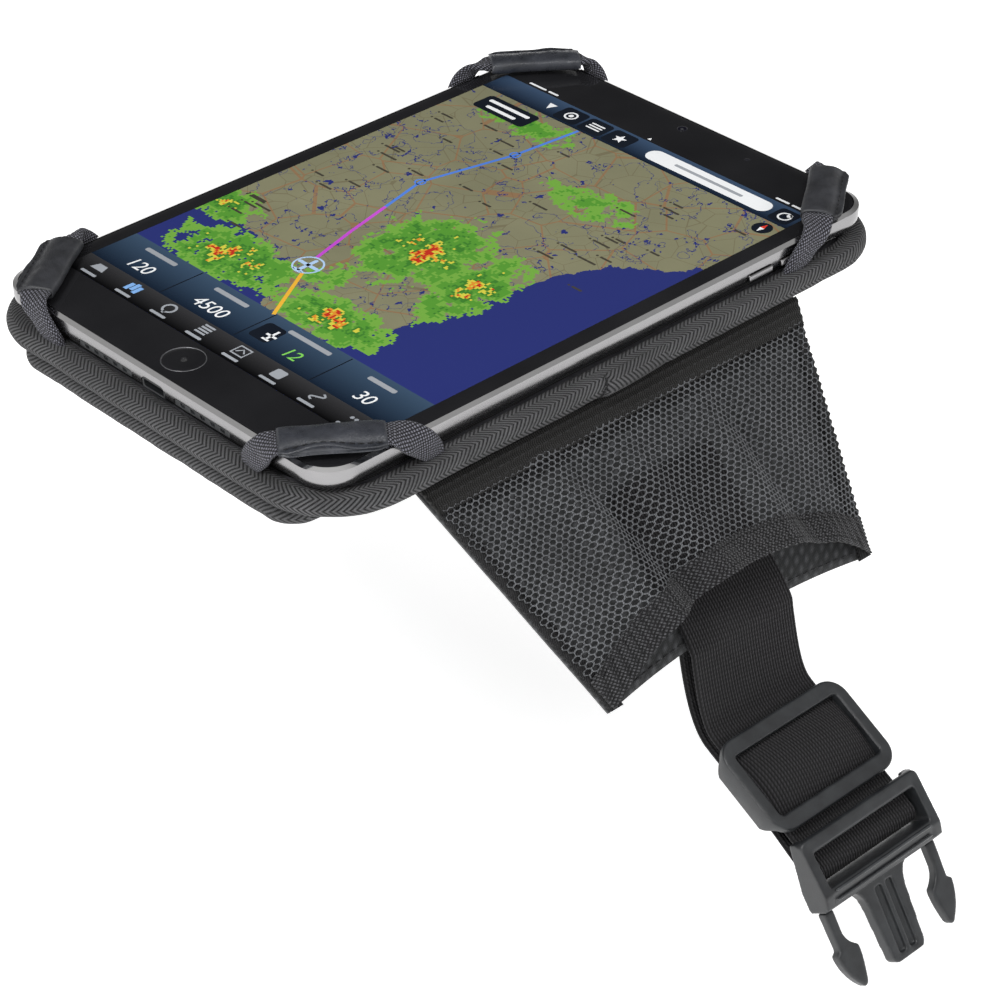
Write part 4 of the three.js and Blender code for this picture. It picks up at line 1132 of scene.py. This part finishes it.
# Two corners take the lighter copy of the leather as a painted sheen; the other two take the plain one.
for corner, sx, sy, leaf, tone in (("bottom_near", -1, -1, 1.5, "leather_painted_sheen"),
                                   ("bottom_far", -1, 1, 0.15, "leather"),
                                   ("top_near", 1, -1, 0.1, "leather"),
                                   ("top_far", 1, 1, 0.3, "leather_painted_sheen")):
    flip, turn = np.array([sx, sy, 1.0]), sx * sy
    seed = 3.0 * sx + 1.7 * sy
    route = catmull([np.array(p) * flip for p, _ in LOOP], 8)
    outs = catmull([np.array(o) * flip for _, o in LOOP], 8)
    rings = along_route(route, outs, lambda k, s: elastic_section(s, seed))
    settle(loft(f"elastic_band_{corner}", rings, M["elastic"]), "top_board", "elastic",
           f"elastic_loop_{corner}")

    start, end = (e * flip for e in SLEEVE_ENDS)
    shares = np.linspace(0.02, 0.98, 34)
    middle = [start + (end - start) * s + np.array([0, 0, 0.12 * math.sin(math.pi * s)]) for s in shares]
    up = [np.array([0.0, 0, 1])] * len(middle)
    outside = along_route(middle, up, lambda k, s: [(a * turn, n) for a, n in
                                                    sleeve_profile(seed, s, leaf_gap(leaf, s))])
    count = len(outside[0])
    inner = [(-4.2 * turn * math.cos(TAU * k / count), 1.3 * math.sin(TAU * k / count)) for k in range(count)]
    inside = along_route(middle, up, lambda k, s: inner)
    settle(loft(f"sleeve_{corner}", outside + inside[::-1], M[tone], looped=True), "top_board", "leather",
           f"leather_sleeve_{corner}")
    axis = (end - start) / np.linalg.norm(end - start)
    across = np.cross(axis, (0, 0, 1)) * turn
    path = [m + across * SEAM + np.array([0, 0, 0.98 + 0.86 * leaf_gap(leaf, s)])
            for m, s in zip(middle[1:-1], shares[1:-1])]
    settle(stitches(f"sleeve_stitches_{corner}", path, lambda p: (0, 0, 1), 2.3, 1.6, 0.36, 0.16),
           "top_board", "leather")

# ---------------------------------------------------------------- wing and its pocket
STRAP_X = -3.5                  # middle of wing, strap and buckle
WING_SLOPE, STRAP_SLOPE, PLUG_SLOPE = 47, 29.7, 57


def sloped(y0, z0, slope):
    """From a tilted part's own (x, distance down the slope, height off it) to the row frame."""
    c, s = math.cos(math.radians(slope)), math.sin(math.radians(slope))
    return lambda x, along, n: (STRAP_X + x, y0 - along * c - n * s, z0 - along * s + n * c)


on_wing = sloped(-68.5, 4.4, WING_SLOPE)
on_strap = sloped(-140.3, -77.8, STRAP_SLOPE)
on_plug = sloped(-160, -81.2, PLUG_SLOPE)
FOLD_HALF, MOUTH_HALF = 69, 49.3    # half widths of the wing at its two ends
WING_LENGTH, BAND_END, HEM = 72, 8, 8.5
# The net's cells: width, distance between rows, share of a cell that is open, half thickness.
STRAND = {"wide": 2.15, "row": 1.36, "hole": 0.79, "thick": 0.26}


def half_at(s):
    """The wing's half width at a distance down its slope."""
    return FOLD_HALF + (MOUTH_HALF - FOLD_HALF) * s / WING_LENGTH


def edge_dip(u):
    """0 at both sides, 1 in the middle; u runs from 0 to 1 across the wing."""
    return 1 - (2 * u - 1) ** 2


def mouth_at(u):
    """The net's curved lower edge."""
    return WING_LENGTH - 0.5 - 15 * edge_dip(u)


# Folds of the net: height, place across the wing, lean down the slope and width.
NET_FOLDS = ((3.4, -32, 0.1, 5), (-3.6, -21, 0.1, 4.4), (2.0, -10, 0.1, 5), (2.2, 20, 0, 5), (-2.6, 30, 0, 4))


def net_lift(x, s):
    """How far the net stands off the backing: slack towards the mouth, with a few soft folds."""
    u = min(1, max(0, (x / (half_at(s) - 0.6) + 1) / 2))
    down = max(0, (s - BAND_END) / 49)
    lift = 1.75 + 12 * edge_dip(u) * down ** 1.3 * 0.94
    reach = min(1, 0.15 + down * 2.2)
    fold = sum(high * math.exp(-((x - at - lean * s) / wide) ** 2) for high, at, lean, wide in NET_FOLDS)
    fold += 0.9 * smooth_noise(x, s, 2.0, 15) + 0.3 * smooth_noise(x, s, 3.0, 6)
    over_strap = 1.7 * min(1, max(0, (s - 14) / 8)) * min(1, max(0, (26 - abs(x)) / 5))
    return max(1.75 + over_strap, lift + fold * reach * (1 - abs(2 * u - 1) ** 6))


def backing_face(a, b):
    s = 0.4 + b * (WING_LENGTH - 4 * edge_dip(a) - 0.4)
    x = (2 * a - 1) * half_at(s)
    return x, s, 0.55 + 0.12 * smooth_noise(x, s, 1, 9) + 0.06 * smooth_noise(x, s, 4, 2.5)


def band_face(a, b):
    s = 0.9 + b * (BAND_END - 0.5)
    x = (2 * a - 1) * (half_at(s) - 0.2)
    pleat = 0.2 * math.cos(TAU * s / 2.2) + 0.14 * smooth_noise(x, s * 3, 5, 12)
    return x, s, 2.15 + pleat


def tape_face(side):
    def face(a, b):
        s = BAND_END + 0.2 + b * (WING_LENGTH - BAND_END - 0.3)
        ragged = 0.3 * math.sin(TAU * s / 2.05) + 0.3 * smooth_noise(side * 40, s, 6, 3)
        x = side * (half_at(s) - 4.4 + a * (4.4 + ragged - 0.2))
        return x, s, 1.45 + 0.12 * math.sin(TAU * s / 2.05) * a
    return face


def hem_face(a, b):
    end = mouth_at(a)
    s = end - HEM * (1 - b)
    x = (2 * a - 1) * (half_at(s) - 0.9)
    ribs = 0.26 * math.cos(TAU * b * 8)
    roll = 0.5 * math.exp(-((b - 0.96) / 0.05) ** 2)
    return x, s + 0.14 * math.sin(TAU * a * 42), net_lift(x, min(s, end)) + 0.6 + ribs + roll


def pocket_net(name, material):
    """Honeycomb net: every strand is a raised ridge between two holes, on both faces."""
    wide, row, hole, thick = STRAND["wide"], STRAND["row"], STRAND["hole"], STRAND["thick"]
    half, tall, middle = wide / 2, row / 1.5, (1 + hole) / 2
    corner = [(0, tall), (-half, tall / 2), (-half, -tall / 2), (0, -tall), (half, -tall / 2),
              (half, tall / 2)]
    points, flat, faces, uvs, index, rim = [], [], [], [], {}, {}

    def vertex(x, s, n, key):
        if key not in index:
            index[key] = len(points)
            points.append(on_wing(x, s, net_lift(x, s) + n))
            flat.append((x, s))
        return index[key]

    def face(*corners):
        faces.append(corners)
        uvs.extend(flat[c] for c in corners)

    for j in range(int((WING_LENGTH - BAND_END) / row) + 2):
        s = BAND_END - 0.8 + j * row
        for i in range(-33, 34):
            x = (i + 0.5 * (j % 2)) * wide
            if abs(x) > half_at(s) - 1.7 or s > WING_LENGTH - 2.2:
                continue
            u = (x / half_at(s) + 1) / 2
            if s > mouth_at(u) - HEM + 1.6:
                continue
            wob = 0.13 * smooth_noise(x, s, 8, 2.2)
            for way in (1, -1):
                outer, ridge, inner = [], [], []
                for k, (dx, ds) in enumerate(corner):
                    key = (round((x + dx) * 20), round((s + ds) * 20))
                    outer.append(vertex(x + dx, s + ds, way * thick, (way, *key)))
                    ridge.append(vertex(x + dx * middle, s + ds * middle + wob, way * thick * 0.75,
                                        (way, "ridge", i, j, k)))
                    inner.append(vertex(x + dx * hole, s + ds * hole + wob, 0, ("hole", i, j, k)))
                for k in range(6):
                    m = (k + 1) % 6
                    for a, b in ((outer, ridge), (ridge, inner)):
                        face(*(a[k], a[m], b[m], b[k])[::way])
                    if way > 0:
                        edge = tuple(sorted((outer[k], outer[m])))
                        rim[edge] = rim.get(edge, 0) + 1
    # The net's outer edge: edges of the upper side that only one hole uses, closed to the lower side.
    below = {at: index[(-1, *key[1:])] for key, at in index.items() if key[0] == 1 and len(key) == 3}
    for (a, b), uses in rim.items():
        if uses == 1:
            face(a, b, below[b], below[a])
    return build(name, points, faces, uvs, material)


def on_pocket(name, face, cells, thickness, finish, slot, node):
    return settle(sheet_solid(name, face, *cells, thickness, M[finish], on_wing), "wing", slot, node)


pocket_back = on_pocket("pocket_back", backing_face, (70, 40), 1.1, "felt", "felt", "wing_backing")
on_pocket("pocket_band", band_face, (110, 40), 1.3, "band", "canvas", "wing_top_band")
for end, side in (("bottom", -1), ("top", 1)):
    on_pocket(f"pocket_side_tape_{end}", tape_face(side), (6, 116), 0.9, "canvas", "canvas",
              f"wing_side_tape_{end}")
net = settle(pocket_net("pocket_net", M["net"]), "wing", "net", "wing_net")
hem = on_pocket("pocket_hem", hem_face, (168, 54), 1.1, "hem", "hem", "wing_mouth_hem")


def wing_out(point):
    return (0, -math.sin(math.radians(WING_SLOPE)), math.cos(math.radians(WING_SLOPE)))


for k, s in enumerate((2.2, 4.4, 6.6)):
    path = []
    for x in np.arange(-half_at(s) + 1.5, half_at(s) - 1.5, 1.0):
        *_, n = band_face((x / (half_at(s) - 0.2) + 1) / 2, (s - 0.9) / (BAND_END - 0.5))
        path.append(on_wing(x, s, n - 0.04))
    settle(stitches(f"band_stitches_{k + 1}", path, wing_out, 2.6, 1.9, 0.4, 0.16), "wing", "canvas")
for side, end in ((-1, "bottom"), (1, "top")):
    path = [on_wing(side * (half_at(s) - 3.6), s, 2.0) for s in np.arange(BAND_END + 1, WING_LENGTH - 1, 1.0)]
    settle(stitches(f"side_stitches_{end}", path, wing_out, 2.8, 2.0, 0.45, 0.2), "wing", "canvas")
for offset, name in ((7.3, "hem_stitches_upper"), (1.7, "hem_stitches_lower")):
    path = [on_wing(x, s, n + 0.02)
            for x, s, n in (hem_face(a, 1 - offset / HEM) for a in np.linspace(0.02, 0.98, 150))]
    settle(stitches(name, path, wing_out, 2.4, 1.7, 0.4, 0.18), "wing", "hem")
path = [on_wing((2 * a - 1) * (half_at(67) - 2), WING_LENGTH - 4 * edge_dip(a) - 2.2, 0.62)
        for a in np.linspace(0.02, 0.98, 120)]
settle(stitches("back_stitches", path, wing_out, 2.8, 2.0, 0.4, 0.16), "wing", "felt")


# ---------------------------------------------------------------- webbing
def strip(name, path, half, thickness, material, rib=0.26, pitch=0.96, step=1.3, hump=None):
    """Flat webbing along a row of (y, z) points, with lengthwise ribs and rounded selvedges."""
    line = resample([(0, y, z) for y, z in path], step)
    far = running(line)
    across = np.arange(-half, half + 0.01, pitch / 4)
    rings = []
    for k, c in enumerate(line):
        t = line[min(k + 1, len(line) - 1)] - line[max(k - 1, 0)]
        t /= np.linalg.norm(t)
        n = np.array([0, t[2], -t[1]])
        ring = []
        for face in (1, -1):
            xs = across if face > 0 else across[::-1]
            for x in xs:
                edge = max(0.0, (abs(x) - half + 0.8) / 0.8)
                h = thickness / 2 - rib * (0.5 - 0.5 * math.cos(TAU * x / pitch))
                h *= math.sqrt(max(0.06, 1 - edge * edge))
                lift = hump(far[k] / far[-1], x / half) if hump else 0.0
                ring.append(c + n * (face * h + lift) + np.array([STRAP_X + x, 0, 0]))
        rings.append(ring)
    ribs = across + pitch / 4
    return loft(name, rings, material, u=far, v=np.concatenate([ribs, ribs[::-1], ribs[:1]]))


def yz(points):
    return [np.array(p[1:]) for p in points]


def bezier(a, b, c, d, count):
    return [(1 - t) ** 3 * a + 3 * t * (1 - t) ** 2 * b + 3 * t * t * (1 - t) * c + t ** 3 * d
            for t in np.linspace(0, 1, count)]


def bending(made, nodes, near, far):
    """Webbing or cloth kept in the row frame, riding no body, standing for CAD nodes; near and far are not
    used.
    """
    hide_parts(*nodes)
    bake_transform(made)


TONGUE_LIFT, LAYER_GAP = 1.8, -3.8      # height of the upper layer on the wing, of the lower on the strap
HALF_WEBBING, WEBBING = 19, 1.8
fold, start, back = yz([on_wing(0, 69, TONGUE_LIFT), on_strap(0, -17.05, 0), on_strap(0, -17.05, LAYER_GAP)])
downhill = -np.array([math.cos(math.radians(STRAP_SLOPE)), math.sin(math.radians(STRAP_SLOPE))])
route = yz([on_wing(0, s, TONGUE_LIFT) for s in (24, 36, 48, 58, 64)])
route += bezier(fold + (-0.2, -1.4), fold + (-2.6, -12), start - 5 * downhill, start, 14)
route += yz([on_strap(0, t, 0) for t in (-8, 0, 10, 20)])
route += yz([on_strap(0, 25.4 + 2.5 * math.sin(a), -2.5 + 2.5 * math.cos(a))
             for a in np.linspace(0, math.pi, 13)])
route += yz([on_strap(0, t, n) for t, n in ((20, -4.8), (6.35, LAYER_GAP), (-6, LAYER_GAP))])
route += bezier(back, back - 6 * downhill, fold + (1.8, -15), yz([on_wing(0, 66.5, -1.9)])[0], 12)
route += yz([on_wing(0, 63.5, -1.75)])
strap = strip("leg_strap", catmull(route, 4), HALF_WEBBING, WEBBING, M["webbing"])
bending(strap, ("strap_tongue", "strap_upper_layer", "strap_return_layer"),
        on_wing(0, 65.5, TONGUE_LIFT)[1:], fold + (-1.6, -7.0))


def bulge(share, x):
    """The strap's hump where it runs over the slider's bar."""
    return 4.4 * math.sin(math.pi * share) ** 1.1 * (1 - 0.85 * abs(x) ** 4)


window = yz([on_strap(0, t, 0.15) for t in np.linspace(-11.6, 11.6, 9)])
settle(strip("strap_in_slider", window, 19.8, 1.7, M["webbing"], hump=bulge, step=0.7), "slider", "webbing")

hinge = [(-54, 4.5), (-62, 4.5), (-66.5, 4.55), (-68.6, 4.2)]
hinge += yz([on_wing(0, s, 0.75) for s in (1.5, 4, 8, 11)])
wing_hinge = strip("wing_hinge_cloth", catmull(hinge, 4), 66, 0.9, M["canvas"], 0.04, 2.2, 1.0)
bending(wing_hinge, ("wing_root_tape",), (-66.2, 4.5), on_wing(0, 2.6, 0.7)[1:])

route = [(51, 3.0), (57, 3.0), (59.4, 2.8), (60.6, 1.7), (61.2, 0.2), (62.2, -2), (62.8, -6)]
route += [(60.2 + 2.6 * math.cos(a), -17 - 2.6 * math.sin(a)) for a in np.linspace(0, math.pi, 11)]
route += [(58.0, -7.0), (59.0, -3.5)]
far_tab = strip("far_tab_webbing", catmull(route, 4), HALF_WEBBING, WEBBING, M["webbing"], step=0.8)
bending(far_tab, ("far_webbing_tab",), (58.2, 3.2), (61.4, -0.8))


# ---------------------------------------------------------------- slider and buckle
def slider_frame():
    """A frame round the strap's window, lofted round its outline, and the bar under the strap."""
    outer, _ = outline(23, 14.35, 6, arc=12, line=12)
    window_edge, _ = outline(19.3, 9.8, 1.2, arc=12, line=12)
    # Section of the frame: share of the way from the window's edge outwards, and height.
    section = [(0.0, 1.7), (0.0, 3.5), (0.03, 3.8), (0.09, 3.98), (0.2, 4.05), (0.5, 4.08), (0.8, 4.05),
               (0.91, 3.98), (0.97, 3.75), (1.0, 3.4), (1.0, 1.9), (0.95, 1.5), (0.5, 1.4), (0.05, 1.4)]
    rings = []
    for o, i in zip(outer, window_edge):
        side = np.clip((abs(o[0]) - 21.5) / 1.2, 0, 1) * np.clip((12.5 - abs(o[1])) / 4, 0, 1)
        ring = []
        for f, n in section:
            x, along = i + f * (o - i)
            ring.append(on_strap(x, -along, n - (3.9 * side if n < 2.2 else 0)))
        rings.append(ring)
    frame_part = loft("slider_frame", rings, M["plastic"], looped=True)
    turns = np.linspace(0, TAU, 16, endpoint=False)
    bar = [[on_strap(x, 1.7 * math.cos(t), -1.9 + 0.75 * math.sin(t)) for t in turns]
           for x in (-20.5, -19, 0, 19, 20.5)]
    return joined("strap_slider_moulding", [frame_part, loft("bar", bar, M["plastic"])])


settle(slider_frame(), "slider", "dark_plastic", "strap_slider")
for node, name, body, voxel, passes in (
        ("buckle_plug_body", "plug_moulding", "buckle_plug", 0.36, 7),
        ("buckle_latch_bottom", "latch_moulding_bottom", "latch_bottom", 0.3, 6),
        ("buckle_latch_top", "latch_moulding_top", "latch_top", 0.3, 6),
        ("buckle_socket_body", "socket_moulding", "buckle_socket", 0.36, 7)):
    settle(moulding(node, name, voxel, passes), body, "dark_plastic", node)
# Two thin ridges on the plug's front bar, lighter than the moulding: a painted glint along its edge.
for number, (far, lift, radius) in enumerate(((14.9, 1.75, 0.5), (17.6, 0.95, 0.35))):
    ridge = [[on_plug(x, far + size * radius * math.cos(t), lift + size * radius * math.sin(t))
              for t in np.linspace(0, TAU, 16, endpoint=False)]
             for x, size in ((-18.6, 0.3), (-18.2, 0.8), (-17.6, 1), (17.6, 1), (18.2, 0.8), (18.6, 0.3))]
    settle(loft(f"plug_ridge_{number + 1}", ridge, M["ridge"]), "buckle_plug", "dark_plastic")

# ---------------------------------------------------------------- CAD pieces that keep their own shape
KEPT = {"foam": ("base_foam", "board_foam"),
        "board": ("base_stiffener", "board_stiffener"),
        "steel": ("swivel_post", "swivel_cap"),
        "panel": ("tablet_display_panel",),
        "battery": ("tablet_battery_near", "tablet_battery_far"),
        "circuit": ("tablet_logic_board",),
        "lens": ("tablet_front_camera", "tablet_rear_camera")}
for finish, nodes in KEPT.items():
    for node in nodes:
        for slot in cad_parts[node].material_slots:
            slot.material = M[finish]

# ---------------------------------------------------------------- floor and sizes
low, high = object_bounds()
floor_z = min(low.z, CAD_LOW.z) - 0.012      # the part hangs a little above it
bpy.ops.mesh.primitive_grid_add(x_subdivisions=2, y_subdivisions=2, size=6, location=(0, 0, floor_z))
floor = bpy.context.object
floor.name = "studio_floor"
pale = Paint("studio_floor_paint", Roughness=0.7, Specular_IOR_Level=0.2, Emission_Strength=0.55)
pale.shader.inputs["Emission Color"].default_value = (1, 1, 1, 1)
tone = pale.mix(pale.noise(pale.place(), 400), (246, 246, 246), (250, 250, 250))
floor.data.materials.append(pale.give(Base_Color=tone))
